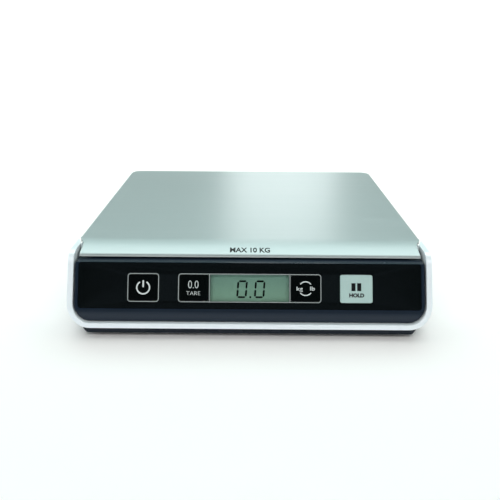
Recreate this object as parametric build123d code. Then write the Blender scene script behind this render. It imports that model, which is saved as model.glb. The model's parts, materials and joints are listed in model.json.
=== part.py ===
from build123d import *
import math
import os

# Platform shipping scale, millimetres. +X is to the user's right, the key panel faces -Y, +Z is up.
# The origin is on the table, under the middle of the whole scale.

# --- whole scale ---
body_width = 203.0
body_depth = 227.6
body_height = 44.0
foot_height = 1.5
fascia_tilt = 24.0

# --- silver housing shell ---
shell_wall = 3.0
shell_floor = 2.4
shell_foot_z = 5.7
shell_lower_radius = 13.0
shell_back_radius = 8.0
shell_back_foot_radius = 6.0
pillar_top_radius = 8.0
shell_opening_margin = 16.5
shell_opening_radius = 12.0

# --- brushed steel platform ---
cover_sheet = 0.8
cover_edge_radius = 1.5
cover_flange = 3.0
cover_back_radius = 8.0
lip_setback = 22.3
lip_run = 22.3
lip_drop = 4.2
lip_curl_radius = 2.6
lip_end_slope = 66.0
lip_side_inset = 4.5
lip_taper_run = 10.0
lip_taper_radius = 12.0
platform_gap = 1.4
platform_travel = 0.5
lip_clearance = 0.15

# --- platform carrier and load cell ---
carrier_inset = 1.4
carrier_plate = 2.5
carrier_rim_inset = 5.0
carrier_rim_depth = 5.0
tape_thickness = 0.4
tape_width = 12.0
tape_strips = 4
carrier_rib = 2.0
bracket_length = 120.0
bracket_width = 70.0
bracket_sheet = 2.0
cell_length = 80.0
cell_side = 12.7
cell_hole_radius = 4.2
cell_hole_spread = 11.0
cell_screw_pitch = 15.0
cell_screw_margin = 6.0
cell_screw_radius = 2.0
cell_screw_head_radius = 3.6
cell_screw_head = 2.4
cell_block_length = 28.0
cell_block_width = 20.0
cell_floor_gap = 6.3
cell_base_plate = 2.0
top_block_height = 4.0
sealant_length = 22.0
sealant_thickness = 1.2
carrier_screw_spread_x = 50.0
carrier_screw_spread_y = 50.0

# --- base tray ---
base_side_inset = 6.5
base_front_inset = 2.0
base_back_inset = 5.3
base_floor = 2.2
base_wall = 2.2
base_edge_radius = 1.4
base_lower_radius = 7.0
base_corner_radius = 7.0
base_cup = 3.0
shell_seat_gap = 0.2
spigot_wall = 2.0
spigot_clearance = 0.5
spigot_top_z = 11.0
stop_inset_x = 30.0
stop_inset_y = 18.0
stop_post_radius = 4.0
stop_post_top_z = 26.0
stop_clearance = 0.1
stop_screw_radius = 2.0

# --- fasteners and feet ---
foot_radius = 8.0
foot_recess = 0.8
foot_inset = 20.0
housing_screw_inset_x = 4.0
housing_screw_inset_y = 11.3
housing_screw_radius = 1.4
housing_screw_head_radius = 2.8
housing_screw_head = 1.5
housing_screw_sink = 1.2
housing_screw_length = 10.0
screw_clearance = 0.15
boss_radius = 3.6
boss_height = 9.0

# --- fascia ---
fascia_recess = 1.0
fascia_side_gap = 0.95
fascia_bottom_gap = 0.5
frame_web = 1.0
ledge_depth = 14.0
ledge_thickness = 2.0
panel_side_border = 1.85
panel_height = 25.6
panel_thickness = 1.2
panel_radius = 1.9
panel_gap = 0.1
panel_top_border = 0.125
bezel_strip = 1.1
trim_step = 0.4
trim_roll_radius = 24.0

# --- keys and display ---
key_row_drop = 1.14
key_height = 14.6
key_width = 16.4
hold_key_height = 15.6
hold_key_width = 18.0
key_radius = 1.2
key_gap = 0.15
outer_key_x = 59.4
group_rib = 0.8
window_width = 44.0
key_travel = 0.5
key_proud = 0.15
hold_key_proud = 0.35
key_edge_round = 0.12
key_tab_inset = 3.2
key_tab_reach = 0.9
key_tab_thickness = 0.6
key_tab_gap = 0.2
key_stem_side = 4.0
lens_thickness = 1.0
lens_gap = 0.1
lcd_side_border = 3.0
lcd_top_border = 1.05
lcd_thickness = 2.2
lcd_step = 3.0
lcd_frame_wall = 1.2
zebra_height = 2.0

# --- main board ---
board_side_border = 3.6
board_height = 23.0
board_thickness = 1.6
board_front_depth = 8.0
board_post_radius = 2.6
board_post_v = 6.0
board_screw_radius = 1.0
board_screw_head_radius = 2.0
board_screw_head = 1.2
switch_side = 6.0
switch_height = 2.0
plunger_radius = 1.75
plunger_clearance = 0.05
connector_width = 8.0
connector_height = 5.0
connector_depth = 4.0
cell_connector_u = 34.0
battery_connector_u = -34.0
usb_connector_u = 52.0
connector_v = 2.0

# --- battery bay, three AAA cells ---
cell_aaa_radius = 5.25
cell_aaa_length = 44.5
cell_aaa_pitch = 11.0
cell_aaa_nub_radius = 1.9
cell_aaa_nub = 0.8
bay_side_inset = 44.5
bay_y = 22.0
bay_length = 51.0
bay_side_room = 0.5
bay_wall = 1.6
bay_roof = 1.6
bay_roof_gap = 0.5
contact_sheet = 0.4
spring_radius = 3.2
spring_wire = 0.35
spring_turns = 4
door_thickness = 1.8
door_gap = 0.3
door_margin = 2.0
door_barrel_radius = 1.5
door_pin_radius = 0.8
door_pin_length = 2.0
door_pin_clearance = 0.05
door_ledge = 1.2
door_grip_length = 14.0
door_grip_width = 4.0

# --- USB socket and leads ---
usb_x = 40.0
usb_z = 24.0
usb_width = 7.7
usb_height = 4.0
usb_length = 9.2
usb_sheet = 0.35
usb_tongue_width = 4.6
usb_tongue_height = 1.0
usb_cutout_margin = 0.6
usb_board_width = 24.0
usb_board_length = 18.0
usb_rail_width = 3.0
lead_radius = 1.1
cell_lead_radius = 1.25

# --- places worked out from the driving sizes ---
front_y = -body_depth / 2
back_y = body_depth / 2
tilt = math.radians(fascia_tilt)
slant = math.tan(tilt)
half_width = body_width / 2
inner_half = half_width - shell_wall
shell_floor_z = shell_foot_z + shell_floor
base_bottom_z = foot_height
base_floor_z = base_bottom_z + base_floor
platform_top = body_height
lip_end_y = front_y + lip_setback
bend_y = lip_end_y + lip_run
platform_mid_y = (back_y + lip_end_y) / 2
lip_half = half_width - lip_side_inset
cover_under_z = platform_top - cover_sheet
flange_foot_z = platform_top - cover_flange
side_top_z = flange_foot_z - platform_gap
pillar_back_y = bend_y - platform_gap
lip_foot_z = platform_top - lip_drop - cover_sheet * math.cos(math.radians(lip_end_slope))
ledge_z = lip_foot_z - platform_travel - lip_clearance
trim_foot_z = shell_floor_z + fascia_bottom_gap
fascia_half = inner_half - fascia_side_gap
fascia_shift = fascia_recess / math.cos(tilt)
panel_top_z = ledge_z - panel_top_border
panel_mid_z = panel_top_z - panel_height / 2 * math.cos(tilt)
panel_mid_y = front_y + fascia_shift + (panel_mid_z - shell_foot_z) * slant
frame_depth = panel_thickness + frame_web
group_key_x = window_width / 2 + group_rib + (key_width + 2 * key_gap) / 2
panel_width = 2 * (fascia_half - panel_side_border)
window_height = key_height + 2 * key_gap
lcd_width = window_width + 2 * lcd_side_border
lcd_height = window_height + 2 * lcd_top_border + lcd_step
board_post_x = outer_key_x + hold_key_width / 2 + key_gap + board_post_radius
board_width = 2 * (board_post_x + board_side_border)
cell_bottom_z = base_floor_z + cell_floor_gap
cell_top_z = cell_bottom_z + cell_side
bracket_z = cell_top_z + top_block_height
carrier_foot_z = bracket_z + bracket_sheet
carrier_top_z = cover_under_z - tape_thickness
cell_fixed_y = platform_mid_y + cell_length / 2
cell_free_y = platform_mid_y - cell_length / 2
housing_seat_z = base_bottom_z + housing_screw_sink + housing_screw_head
base_half = half_width - base_side_inset
base_front_y = front_y + base_front_inset
base_back_y = back_y - base_back_inset
rim_half = half_width - cover_sheet - carrier_inset - carrier_rim_inset
rim_front_y = bend_y + carrier_inset + carrier_rim_inset
rim_back_y = back_y - cover_sheet - carrier_inset - carrier_rim_inset
opening_half = half_width - shell_opening_margin
opening_front_y = front_y + shell_opening_margin
opening_back_y = back_y - shell_opening_margin
bay_x = -(half_width - bay_side_inset)
bay_width = 3 * cell_aaa_pitch + 2 * bay_side_room
contact_y = bay_length / 2 - contact_sheet
cell_aaa_shift = contact_y - cell_aaa_length / 2 - cell_aaa_nub
bay_roof_z = base_floor_z + 2 * cell_aaa_radius + bay_roof_gap
cell_aaa_z = base_floor_z + cell_aaa_radius + bay_roof_gap / 2
door_axis_z = base_bottom_z + door_barrel_radius
door_axis_y = bay_y + bay_length / 2 + door_margin
door_front_y = bay_y - bay_length / 2 - door_margin
door_width = bay_width - 2 * door_ledge

fascia_plane = Plane(
    origin=(0, panel_mid_y, panel_mid_z),
    x_dir=(1, 0, 0),
    z_dir=(0, -math.cos(tilt), math.sin(tilt)),
)

keys = {
    "power": (-outer_key_x, key_width, key_height, key_proud),
    "tare": (-group_key_x, key_width, key_height, key_proud),
    "units": (group_key_x, key_width, key_height, key_proud),
    "hold": (outer_key_x, hold_key_width, hold_key_height, hold_key_proud),
}


# --- helpers ---
def block(x0, x1, y0, y1, z0, z1):
    """Box between two corners."""
    middle = Pos((x0 + x1) / 2, (y0 + y1) / 2, (z0 + z1) / 2)
    return middle * Box(abs(x1 - x0), abs(y1 - y0), abs(z1 - z0))


def disc(radius, x, y, z0, z1):
    """Upright cylinder between two heights."""
    return Pos(x, y, (z0 + z1) / 2) * Cylinder(radius, z1 - z0)


def rounded_block(x0, x1, y0, y1, z0, z1, radius):
    """Box with rounded upright edges."""
    outline = Pos((x0 + x1) / 2, (y0 + y1) / 2, z0) * RectangleRounded(x1 - x0, y1 - y0, radius)
    return extrude(outline, amount=z1 - z0)


def on_fascia(shape, u=0.0, v=0.0, n=0.0):
    """Place a shape made flat on XY onto the fascia: u across, v up the slope, n outwards."""
    return fascia_plane.location * (Pos(u, v, n) * shape)


def fascia_point(u, v, n):
    """A point given in fascia directions, as a place in the scale's frame."""
    return fascia_plane.from_local_coords(Vector(u, v, n))


def plate(width, height, thickness, radius):
    """Flat rounded plate whose front face is at n = 0 and whose body lies behind it."""
    return extrude(RectangleRounded(width, height, radius), amount=-thickness)


def side_solid(points, rounds, half):
    """Extrude a side outline, given as (y, z) points, to both sides of the middle plane."""
    outline = make_face(Polyline(*points, close=True))
    for index, radius in rounds:
        corner = outline.vertices().sort_by_distance((*points[index], 0))[0]
        outline = fillet(corner, radius)
    return extrude(Plane.YZ * outline, amount=half, both=True)


def grid(spread_x, spread_y, mid_y=0.0):
    """Four (x, y) places at the corners of a rectangle."""
    return [(sx * spread_x / 2, mid_y + sy * spread_y / 2) for sx in (-1, 1) for sy in (-1, 1)]


def tube(points, radius):
    """Round lead along straight runs joined by tangent arcs, each as large as its two runs allow."""
    places = [Vector(point) for point in points]
    radii = []
    for before, corner, after in zip(places, places[1:], places[2:]):
        turn = math.radians((corner - before).get_angle(after - corner))
        shorter = min((corner - before).length, (after - corner).length)
        radii.append(0.45 * shorter / math.tan(turn / 2))
    path = FilletPolyline(*places, radius=radii)
    section = Plane(origin=path @ 0, z_dir=path % 0) * Circle(radius)
    return sweep(section, path=path)


def union(shapes):
    """One shape out of pieces that touch."""
    total = shapes[0]
    for shape in shapes[1:]:
        total += shape
    return total


def group(shapes):
    """Several separate solids kept in one node."""
    return Compound(children=[solid for shape in shapes for solid in shape.solids()])


# --- platform ---
def cover_outline():
    """Plan outline of the platform: square at the back, narrower along the front lip."""
    taper_y = bend_y - lip_taper_run
    right = [(half_width, back_y), (half_width, bend_y), (lip_half, taper_y), (lip_half, lip_end_y)]
    left = [(-x, y) for x, y in reversed(right)]
    outline = make_face(Polyline(*right, *left, close=True))
    for side in (-1, 1):
        for x, y, radius in (
            (half_width, back_y, cover_back_radius),
            (half_width, bend_y, lip_taper_radius),
            (lip_half, taper_y, lip_taper_radius),
        ):
            corner = outline.vertices().sort_by_distance((side * x, y, 0))[0]
            outline = fillet(corner, radius)
    return outline


def lip_curve(depth):
    """Side line of the lip, at a depth under the outer face: a long arc and a tight curl."""
    end_slope = math.radians(lip_end_slope)
    curl_radius = lip_curl_radius - depth
    guess = math.radians(20.0)
    for _ in range(40):
        curl_run = lip_curl_radius * (math.sin(end_slope) - math.sin(guess))
        curl_drop = lip_curl_radius * (math.cos(guess) - math.cos(end_slope))
        guess = 2 * math.atan((lip_drop - curl_drop) / (lip_run - curl_run))
    long_radius = (lip_run - curl_run) / math.sin(guess)
    radius = long_radius - depth
    centre_z = platform_top - long_radius
    join = (bend_y - radius * math.sin(guess), centre_z + radius * math.cos(guess))
    half = (bend_y - radius * math.sin(guess / 2), centre_z + radius * math.cos(guess / 2))
    curl_centre = (
        bend_y - (long_radius - lip_curl_radius) * math.sin(guess),
        centre_z + (long_radius - lip_curl_radius) * math.cos(guess),
    )
    middle = (guess + end_slope) / 2
    curl_half = (
        curl_centre[0] - curl_radius * math.sin(middle),
        curl_centre[1] + curl_radius * math.cos(middle),
    )
    end = (
        curl_centre[0] - curl_radius * math.sin(end_slope),
        curl_centre[1] + curl_radius * math.cos(end_slope),
    )
    start = (bend_y, platform_top - depth)
    return ThreePointArc(start, half, join) + ThreePointArc(join, curl_half, end)


def platform_cover():
    """Brushed steel sheet with rolled side and back edges and a front lip that curves down."""
    flat = extrude(Pos(0, 0, flange_foot_z) * cover_outline(), amount=cover_flange)
    flat = flat & block(-half_width, half_width, bend_y, back_y, 0, body_height)
    top_edges = flat.faces().sort_by(Axis.Z)[-1].edges()
    rolled = [edge for edge in top_edges if edge.center().Y > bend_y + 1]
    flat = fillet(rolled, cover_edge_radius)
    pocket_half = half_width - cover_sheet
    pocket = rounded_block(
        -pocket_half, pocket_half, front_y, back_y - cover_sheet,
        0, cover_under_z, cover_back_radius - cover_sheet,
    )
    pocket_edges = pocket.faces().sort_by(Axis.Z)[-1].edges()
    pocket = fillet(pocket_edges, cover_edge_radius - cover_sheet)
    flat = flat - pocket
    outer = lip_curve(0)
    inner = lip_curve(cover_sheet)
    outer_end = outer.vertices().sort_by(Axis.X)[0]
    inner_end = inner.vertices().sort_by(Axis.X)[0]
    edges = [
        *outer.edges(),
        *inner.edges(),
        Line((bend_y, platform_top), (bend_y, cover_under_z)),
        Line(outer_end, inner_end),
    ]
    lip = extrude(Plane.YZ * make_face(edges), amount=half_width, both=True)
    lip = lip & extrude(cover_outline(), amount=body_height)
    return flat + lip


def platform_carrier():
    """Black moulded tray under the steel: a plate, a rim, ribs and four screw posts."""
    half = half_width - cover_sheet - carrier_inset
    rear = back_y - cover_sheet - carrier_inset
    front = bend_y + carrier_inset
    radius = cover_back_radius - carrier_inset
    deck_z = carrier_top_z - carrier_plate
    deck = rounded_block(-half, half, front, rear, deck_z, carrier_top_z, radius)
    deck = fillet(deck.faces().sort_by(Axis.Z)[-1].edges(), cover_edge_radius - cover_sheet)
    rim_z = deck_z - carrier_rim_depth
    rim = rounded_block(-rim_half, rim_half, rim_front_y, rim_back_y, rim_z, deck_z, radius)
    rim = rim - rounded_block(
        -rim_half + carrier_rib, rim_half - carrier_rib,
        rim_front_y + carrier_rib, rim_back_y - carrier_rib, rim_z, deck_z, radius - carrier_rib,
    )
    pieces = [deck, rim]
    for x, _ in grid(carrier_screw_spread_x, carrier_screw_spread_y)[::2]:
        pieces.append(block(
            x - carrier_rib / 2, x + carrier_rib / 2, rim_front_y, rim_back_y, rim_z, deck_z,
        ))
    for _, y in grid(carrier_screw_spread_x, carrier_screw_spread_y, platform_mid_y)[:2]:
        pieces.append(block(
            -rim_half, rim_half, y - carrier_rib / 2, y + carrier_rib / 2, rim_z, deck_z,
        ))
    for x, y in grid(carrier_screw_spread_x, carrier_screw_spread_y, platform_mid_y):
        pieces.append(disc(boss_radius, x, y, carrier_foot_z, deck_z))
    for x, y in stop_places():
        pieces.append(disc(boss_radius, x, y, rim_z, deck_z))
    carrier = union(pieces)
    for x, y in grid(carrier_screw_spread_x, carrier_screw_spread_y, platform_mid_y):
        reach = carrier_foot_z + housing_screw_length
        carrier -= disc(housing_screw_radius, x, y, carrier_foot_z, reach)
    return carrier


def cover_tape():
    """Strips of double-sided tape that hold the steel sheet down on the carrier."""
    half = half_width - cover_sheet - 2 * carrier_inset
    run = back_y - bend_y - 4 * carrier_inset
    strips = []
    for step in range(tape_strips):
        y = bend_y + 2 * carrier_inset + run * (step + 0.5) / tape_strips
        strips.append(block(
            -half, half, y - tape_width / 2, y + tape_width / 2, carrier_top_z, cover_under_z,
        ))
    return group(strips)


def carrier_bracket():
    """Zinc-plated steel plate that joins the load cell to the carrier."""
    half_x = bracket_width / 2
    half_y = bracket_length / 2
    sheet = rounded_block(
        -half_x, half_x, platform_mid_y - half_y, platform_mid_y + half_y,
        bracket_z, carrier_foot_z, boss_radius,
    )
    for x, y in grid(carrier_screw_spread_x, carrier_screw_spread_y, platform_mid_y):
        sheet -= disc(housing_screw_radius + screw_clearance, x, y, bracket_z, carrier_foot_z)
    for y in cell_screw_places(cell_free_y, 1):
        sheet -= disc(cell_screw_radius + screw_clearance, 0, y, bracket_z, carrier_foot_z)
    sheet -= rounded_block(
        -half_x / 2, half_x / 2, platform_mid_y + half_y / 3, platform_mid_y + half_y * 0.8,
        bracket_z, carrier_foot_z, boss_radius,
    )
    return sheet


# --- load cell ---
def cell_screw_places(end_y, inward):
    """Y places of the two screws at one end of the load cell."""
    first = end_y + inward * cell_screw_margin
    return [first, first + inward * cell_screw_pitch]


def load_cell():
    """Aluminium bending beam with a double round hole through its middle."""
    half = cell_side / 2
    beam = block(-half, half, cell_free_y, cell_fixed_y, cell_bottom_z, cell_top_z)
    middle_z = (cell_bottom_z + cell_top_z) / 2
    for side in (-1, 1):
        hole_y = platform_mid_y + side * cell_hole_spread / 2
        beam -= Pos(0, hole_y, middle_z) * Rot(0, 90, 0) * Cylinder(cell_hole_radius, cell_side)
    for y in cell_screw_places(cell_fixed_y, -1) + cell_screw_places(cell_free_y, 1):
        beam -= disc(cell_screw_radius + plunger_clearance, 0, y, cell_bottom_z, cell_top_z)
    return beam


def gauge_sealant():
    """White silicone over the strain gauges, above and below the double hole."""
    half = cell_side / 2 - 0.6
    y0 = platform_mid_y - sealant_length / 2
    y1 = platform_mid_y + sealant_length / 2
    low = rounded_block(-half, half, y0, y1, cell_bottom_z - sealant_thickness, cell_bottom_z, 2)
    high = rounded_block(-half, half, y0, y1, cell_top_z, cell_top_z + sealant_thickness, 2)
    low = fillet(low.faces().sort_by(Axis.Z)[0].edges(), sealant_thickness / 2)
    high = fillet(high.faces().sort_by(Axis.Z)[-1].edges(), sealant_thickness / 2)
    return group([low, high])


def cell_block(end_y, inward, z0, z1):
    """Spacer plate that holds one end of the load cell off what it is screwed to."""
    half = cell_block_width / 2
    spacer = block(-half, half, end_y, end_y + inward * cell_block_length, z0, z1)
    for y in cell_screw_places(end_y, inward):
        spacer -= disc(cell_screw_radius + screw_clearance, 0, y, z0, z1)
    return spacer


def cell_screw(y, head_z, tip_z):
    """Socket screw of the load cell, with its head at one height and its tip at another."""
    outward = 1 if head_z > tip_z else -1
    shank = disc(cell_screw_radius, 0, y, min(head_z, tip_z), max(head_z, tip_z))
    head_end = head_z + outward * cell_screw_head
    head = disc(cell_screw_head_radius, 0, y, min(head_z, head_end), max(head_z, head_end))
    socket_end = head_end - outward * cell_screw_head / 2
    hexagon = extrude(RegularPolygon(cell_screw_radius * 0.8, 6), amount=cell_screw_head / 2)
    return shank + head - Pos(0, y, min(head_end, socket_end)) * hexagon


# --- base tray ---
def stop_places():
    """(x, y) of the four overload stops, set in from the carrier's rim."""
    x = rim_half - stop_inset_x
    rows = (rim_front_y + stop_inset_y, rim_back_y - stop_inset_y)
    return [(side * x, y) for side in (-1, 1) for y in rows]


def foot_places():
    """(x, y) of the four feet, set in from the edges of the base."""
    x = base_half - foot_inset
    rows = (base_front_y + foot_inset, base_back_y - foot_inset)
    return [(side * x, y) for side in (-1, 1) for y in rows]


def base_form(half, front, rear, foot_z, lower_radius, corner_radius):
    """Solid with round lower sides and rounded corners in plan, up to the top of the base's cup."""
    top_z = shell_foot_z + base_cup
    section = extrude(tub_section(half, foot_z, lower_radius), amount=body_depth, both=True)
    return section & rounded_block(-half, half, front, rear, foot_z, top_z, corner_radius)


def base_outside():
    """Outer form of the base, with its front and back lower edges softened."""
    top_z = shell_foot_z + base_cup
    side = side_solid(
        [
            (base_front_y, base_bottom_z),
            (base_front_y, top_z),
            (base_back_y, top_z),
            (base_back_y, base_bottom_z),
        ],
        [(0, base_edge_radius), (3, base_edge_radius)],
        base_half,
    )
    return side & base_form(
        base_half, base_front_y, base_back_y, base_bottom_z, base_lower_radius, base_corner_radius,
    )


def base_tray():
    """Black moulded bottom: floor, rim, spigot, screw seats, load cell seat and battery bay."""
    outside = base_outside()
    tray = outside - base_form(
        base_half - base_wall, base_front_y + base_wall, base_back_y - base_wall,
        base_floor_z, base_lower_radius - base_wall, base_corner_radius - base_wall,
    )
    tub = tub_section(
        half_width + shell_seat_gap, shell_foot_z - shell_seat_gap, shell_lower_radius + shell_seat_gap,
    )
    tray -= extrude(tub, amount=body_depth, both=True)
    solids = [tray, spigot(), cell_seat(), battery_bay()]
    for x, y in stop_places():
        solids.append(disc(stop_post_radius, x, y, base_floor_z, stop_post_top_z))
    for x, y in housing_screw_places():
        solids.append(disc(boss_radius, x, y, base_floor_z, shell_foot_z) & outside)
    solids += floor_ribs()
    base = union(solids)
    for x, y in foot_places():
        base -= disc(foot_radius + lens_gap, x, y, base_bottom_z, base_bottom_z + foot_recess)
    for x, y in housing_screw_places():
        head_top = housing_seat_z + screw_clearance
        base -= disc(housing_screw_head_radius + screw_clearance, x, y, base_bottom_z, head_top)
        base -= disc(housing_screw_radius + screw_clearance, x, y, base_bottom_z, shell_foot_z)
    for x, y in stop_places():
        base -= disc(stop_screw_radius, x, y, base_floor_z + base_wall, stop_post_top_z)
    for y in cell_screw_places(cell_fixed_y, -1):
        head_top = base_bottom_z + cell_screw_head + screw_clearance
        seat_top = cell_bottom_z - cell_base_plate
        base -= disc(cell_screw_head_radius + screw_clearance, 0, y, base_bottom_z, head_top)
        base -= disc(cell_screw_radius + screw_clearance, 0, y, base_bottom_z, seat_top)
    notch_top = base_bottom_z + door_thickness / 2
    base -= disc(door_grip_width, bay_x, door_front_y, base_bottom_z, notch_top)
    return base - bay_space() - door_space()


def spigot():
    """Upright wall that locates the base inside the shell's bottom opening."""
    half = opening_half - spigot_clearance
    front = opening_front_y + spigot_clearance
    rear = opening_back_y - spigot_clearance
    radius = shell_opening_radius - spigot_clearance
    wall = rounded_block(-half, half, front, rear, base_floor_z, spigot_top_z, radius)
    return wall - rounded_block(
        -half + spigot_wall, half - spigot_wall, front + spigot_wall, rear - spigot_wall,
        base_floor_z, spigot_top_z, radius - spigot_wall,
    )


def cell_seat():
    """Raised seat under the fixed end of the load cell."""
    half = cell_block_width / 2
    seat_top = cell_bottom_z - cell_base_plate
    rear = cell_fixed_y
    return block(-half, half, rear - cell_block_length, rear, base_floor_z, seat_top)


def floor_ribs():
    """Low ribs that stiffen the floor to each side of the load cell."""
    ribs = []
    reach = opening_half - spigot_clearance - spigot_wall / 2
    rib_top = base_floor_z + cell_floor_gap / 2
    for x, _ in stop_places()[::2]:
        ribs.append(block(
            x - carrier_rib / 2, x + carrier_rib / 2,
            opening_front_y + spigot_wall, opening_back_y - spigot_wall, base_floor_z, rib_top,
        ))
    for _, y in stop_places()[:2]:
        ribs.append(block(
            -reach, reach, y - carrier_rib / 2, y + carrier_rib / 2, base_floor_z, rib_top,
        ))
    return ribs


def battery_bay():
    """Solid of the battery bay, before its inside is cut out."""
    half = bay_width / 2 + bay_wall
    end = bay_length / 2 + bay_wall + door_margin
    barrel_room = door_barrel_radius + door_gap + bay_wall
    roofed = block(
        bay_x - half, bay_x + half, bay_y - end, bay_y + bay_length / 2 + bay_wall,
        base_floor_z, bay_roof_z + bay_roof,
    )
    knuckle_seat = block(
        bay_x - half, bay_x + half, bay_y + bay_length / 2, door_axis_y + barrel_room,
        base_floor_z, door_axis_z + barrel_room,
    )
    return roofed + knuckle_seat


def bay_space():
    """Room inside the battery bay, open through the floor."""
    half = bay_width / 2
    return block(
        bay_x - half, bay_x + half, bay_y - bay_length / 2, bay_y + bay_length / 2,
        base_bottom_z + door_thickness, bay_roof_z,
    )


def door_space():
    """Room for the battery door, its hinge barrel and its two pins."""
    half = door_width / 2 + door_gap
    panel = block(
        bay_x - half, bay_x + half, door_front_y - door_gap, door_axis_y,
        base_bottom_z, base_bottom_z + door_thickness,
    )
    room = door_barrel_radius + door_gap
    barrel = block(
        bay_x - half, bay_x + half, bay_y + bay_length / 2, door_axis_y + room,
        base_bottom_z, door_axis_z + room,
    )
    bores = along_x(
        door_pin_radius + door_pin_clearance, door_width + 2 * (door_pin_length + door_gap),
    )
    return panel + barrel + bores


def along_x(radius, length):
    """Cylinder along the hinge line of the battery door."""
    return Pos(bay_x, door_axis_y, door_axis_z) * Rot(0, 90, 0) * Cylinder(radius, length)


def battery_door():
    """Door panel with a hinge barrel and two pins, and a row of grip ridges."""
    half = door_width / 2
    panel = block(
        bay_x - half, bay_x + half, door_front_y, door_axis_y,
        base_bottom_z, base_bottom_z + door_thickness,
    )
    door = panel + along_x(door_barrel_radius, door_width)
    door += along_x(door_pin_radius, door_width + 2 * door_pin_length)
    grip_y = door_front_y + door_grip_length / 2 + door_margin
    for step in range(-2, 3):
        y = grip_y + step * door_grip_length / 6
        door -= block(
            bay_x - door_grip_width * 2, bay_x + door_grip_width * 2,
            y - door_gap, y + door_gap, base_bottom_z, base_bottom_z + door_gap * 2,
        )
    return door


# --- batteries ---
def aaa_places():
    """(x, direction) of each AAA cell; every second one is turned round."""
    return [(bay_x + step * cell_aaa_pitch, 1 if step else -1) for step in (-1, 0, 1)]


def aaa_cells():
    """Three AAA cells side by side, each with its raised end against a contact."""
    cells = []
    for x, way in aaa_places():
        can = Cylinder(cell_aaa_radius, cell_aaa_length)
        can = chamfer(can.edges(), cell_aaa_nub / 2)
        nub = Pos(0, 0, cell_aaa_length / 2 + cell_aaa_nub / 2)
        can += nub * Cylinder(cell_aaa_nub_radius, cell_aaa_nub)
        cells.append(Pos(x, bay_y + way * cell_aaa_shift, cell_aaa_z) * Rot(-90 * way, 0, 0) * can)
    return group(cells)


def battery_contacts():
    """Nickel-plated strips at both ends of the bay."""
    strips = []
    tall = cell_aaa_radius * 0.9
    for end in (-1, 1):
        inner = bay_y + end * contact_y
        outer = bay_y + end * bay_length / 2
        half = cell_aaa_pitch * 1.5 - bay_side_room
        strips.append(block(
            bay_x - half, bay_x + half, inner, outer, cell_aaa_z - tall, cell_aaa_z + tall,
        ))
    return group(strips)


def battery_springs():
    """Coil springs that press on the flat end of each AAA cell."""
    room = contact_y + cell_aaa_shift - cell_aaa_length / 2
    height = room - 2 * spring_wire
    springs = []
    for x, way in aaa_places():
        path = Helix(pitch=height / spring_turns, height=height, radius=spring_radius)
        section = Plane(origin=path @ 0, z_dir=path % 0) * Circle(spring_wire)
        coil = sweep(section, path=path, is_frenet=True)
        flat_end = cell_aaa_length / 2 - cell_aaa_shift
        start = Pos(x, bay_y - way * (flat_end + spring_wire), cell_aaa_z)
        springs.append(start * Rot(90 * way, 0, 0) * coil)
    return group(springs)


# --- housing shell ---
def housing_screw_places():
    """(x, y) of the six screws that hold the base to the shell's floor ring."""
    x = opening_half + housing_screw_inset_x
    reach = (opening_back_y - opening_front_y) / 2 - housing_screw_inset_y
    middle = (opening_back_y + opening_front_y) / 2
    return [(side * x, middle + row * reach) for side in (-1, 1) for row in (-1, 0, 1)]


def housing_shell():
    """Silver tub: side walls, floor ring and back, with two pillars beside the platform lip."""
    tall = 2 * body_height
    deep = 2 * body_depth
    section = tub_section(half_width, shell_foot_z, shell_lower_radius)
    outer = Pos(0, back_y, 0) * extrude(section, amount=deep)
    plan = rounded_block(
        -half_width, half_width, back_y - deep, back_y, 0, tall, shell_back_radius,
    )
    pillar_front_y = front_y + (platform_top - shell_foot_z) * slant
    side = side_solid(
        [
            (front_y, shell_foot_z),
            (pillar_front_y, platform_top),
            (pillar_back_y, platform_top),
            (pillar_back_y, side_top_z),
            (back_y, side_top_z),
            (back_y, shell_foot_z),
        ],
        [(1, pillar_top_radius), (5, shell_back_foot_radius)],
        half_width,
    )
    shell = outer & plan & side
    inner_section = tub_section(inner_half, shell_floor_z, shell_lower_radius - shell_wall)
    hollow = Pos(0, back_y - shell_wall, 0) * extrude(inner_section, amount=deep)
    hollow = hollow & rounded_block(
        -inner_half, inner_half, back_y - deep, back_y - shell_wall,
        0, tall, shell_back_radius - shell_wall,
    )
    shell -= hollow
    shell -= rounded_block(
        -opening_half, opening_half, opening_front_y, opening_back_y,
        0, shell_floor_z, shell_opening_radius,
    )
    cover_room = offset(cover_outline(), platform_gap)
    shell -= extrude(Pos(0, 0, side_top_z) * cover_room, amount=body_height)
    for x, y in housing_screw_places():
        shell += disc(boss_radius, x, y, shell_floor_z, shell_floor_z + boss_height)
    for x, y in housing_screw_places():
        tip = housing_seat_z + housing_screw_length
        shell -= disc(housing_screw_radius, x, y, shell_foot_z, tip)
    rail_z = usb_z - usb_height / 2 - board_thickness
    for side in (-1, 1):
        rail_x = usb_x + side * (usb_board_width - usb_rail_width) / 2
        shell += block(
            rail_x - usb_rail_width / 2, rail_x + usb_rail_width / 2,
            back_y - shell_wall - usb_board_length, back_y - shell_wall,
            rail_z - usb_rail_width, rail_z,
        )
    cut_x = usb_width / 2 + usb_cutout_margin
    cut_z = usb_height / 2 + usb_cutout_margin
    cutout = rounded_block(-cut_x, cut_x, -cut_z, cut_z, 0, shell_wall * 2, 1.5)
    return shell - Pos(usb_x, back_y + shell_wall / 2, usb_z) * Rot(90, 0, 0) * cutout


def housing_screws():
    """Six self-tapping screws that come up through the base."""
    screws = []
    for x, y in housing_screw_places():
        foot_z = housing_seat_z - housing_screw_head
        head = disc(housing_screw_head_radius, x, y, foot_z, housing_seat_z)
        tip = housing_seat_z + housing_screw_length
        shank = disc(housing_screw_radius, x, y, housing_seat_z, tip)
        slots = cross_slot(x, y, foot_z)
        screws.append(head + shank - slots)
    return group(screws)


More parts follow.
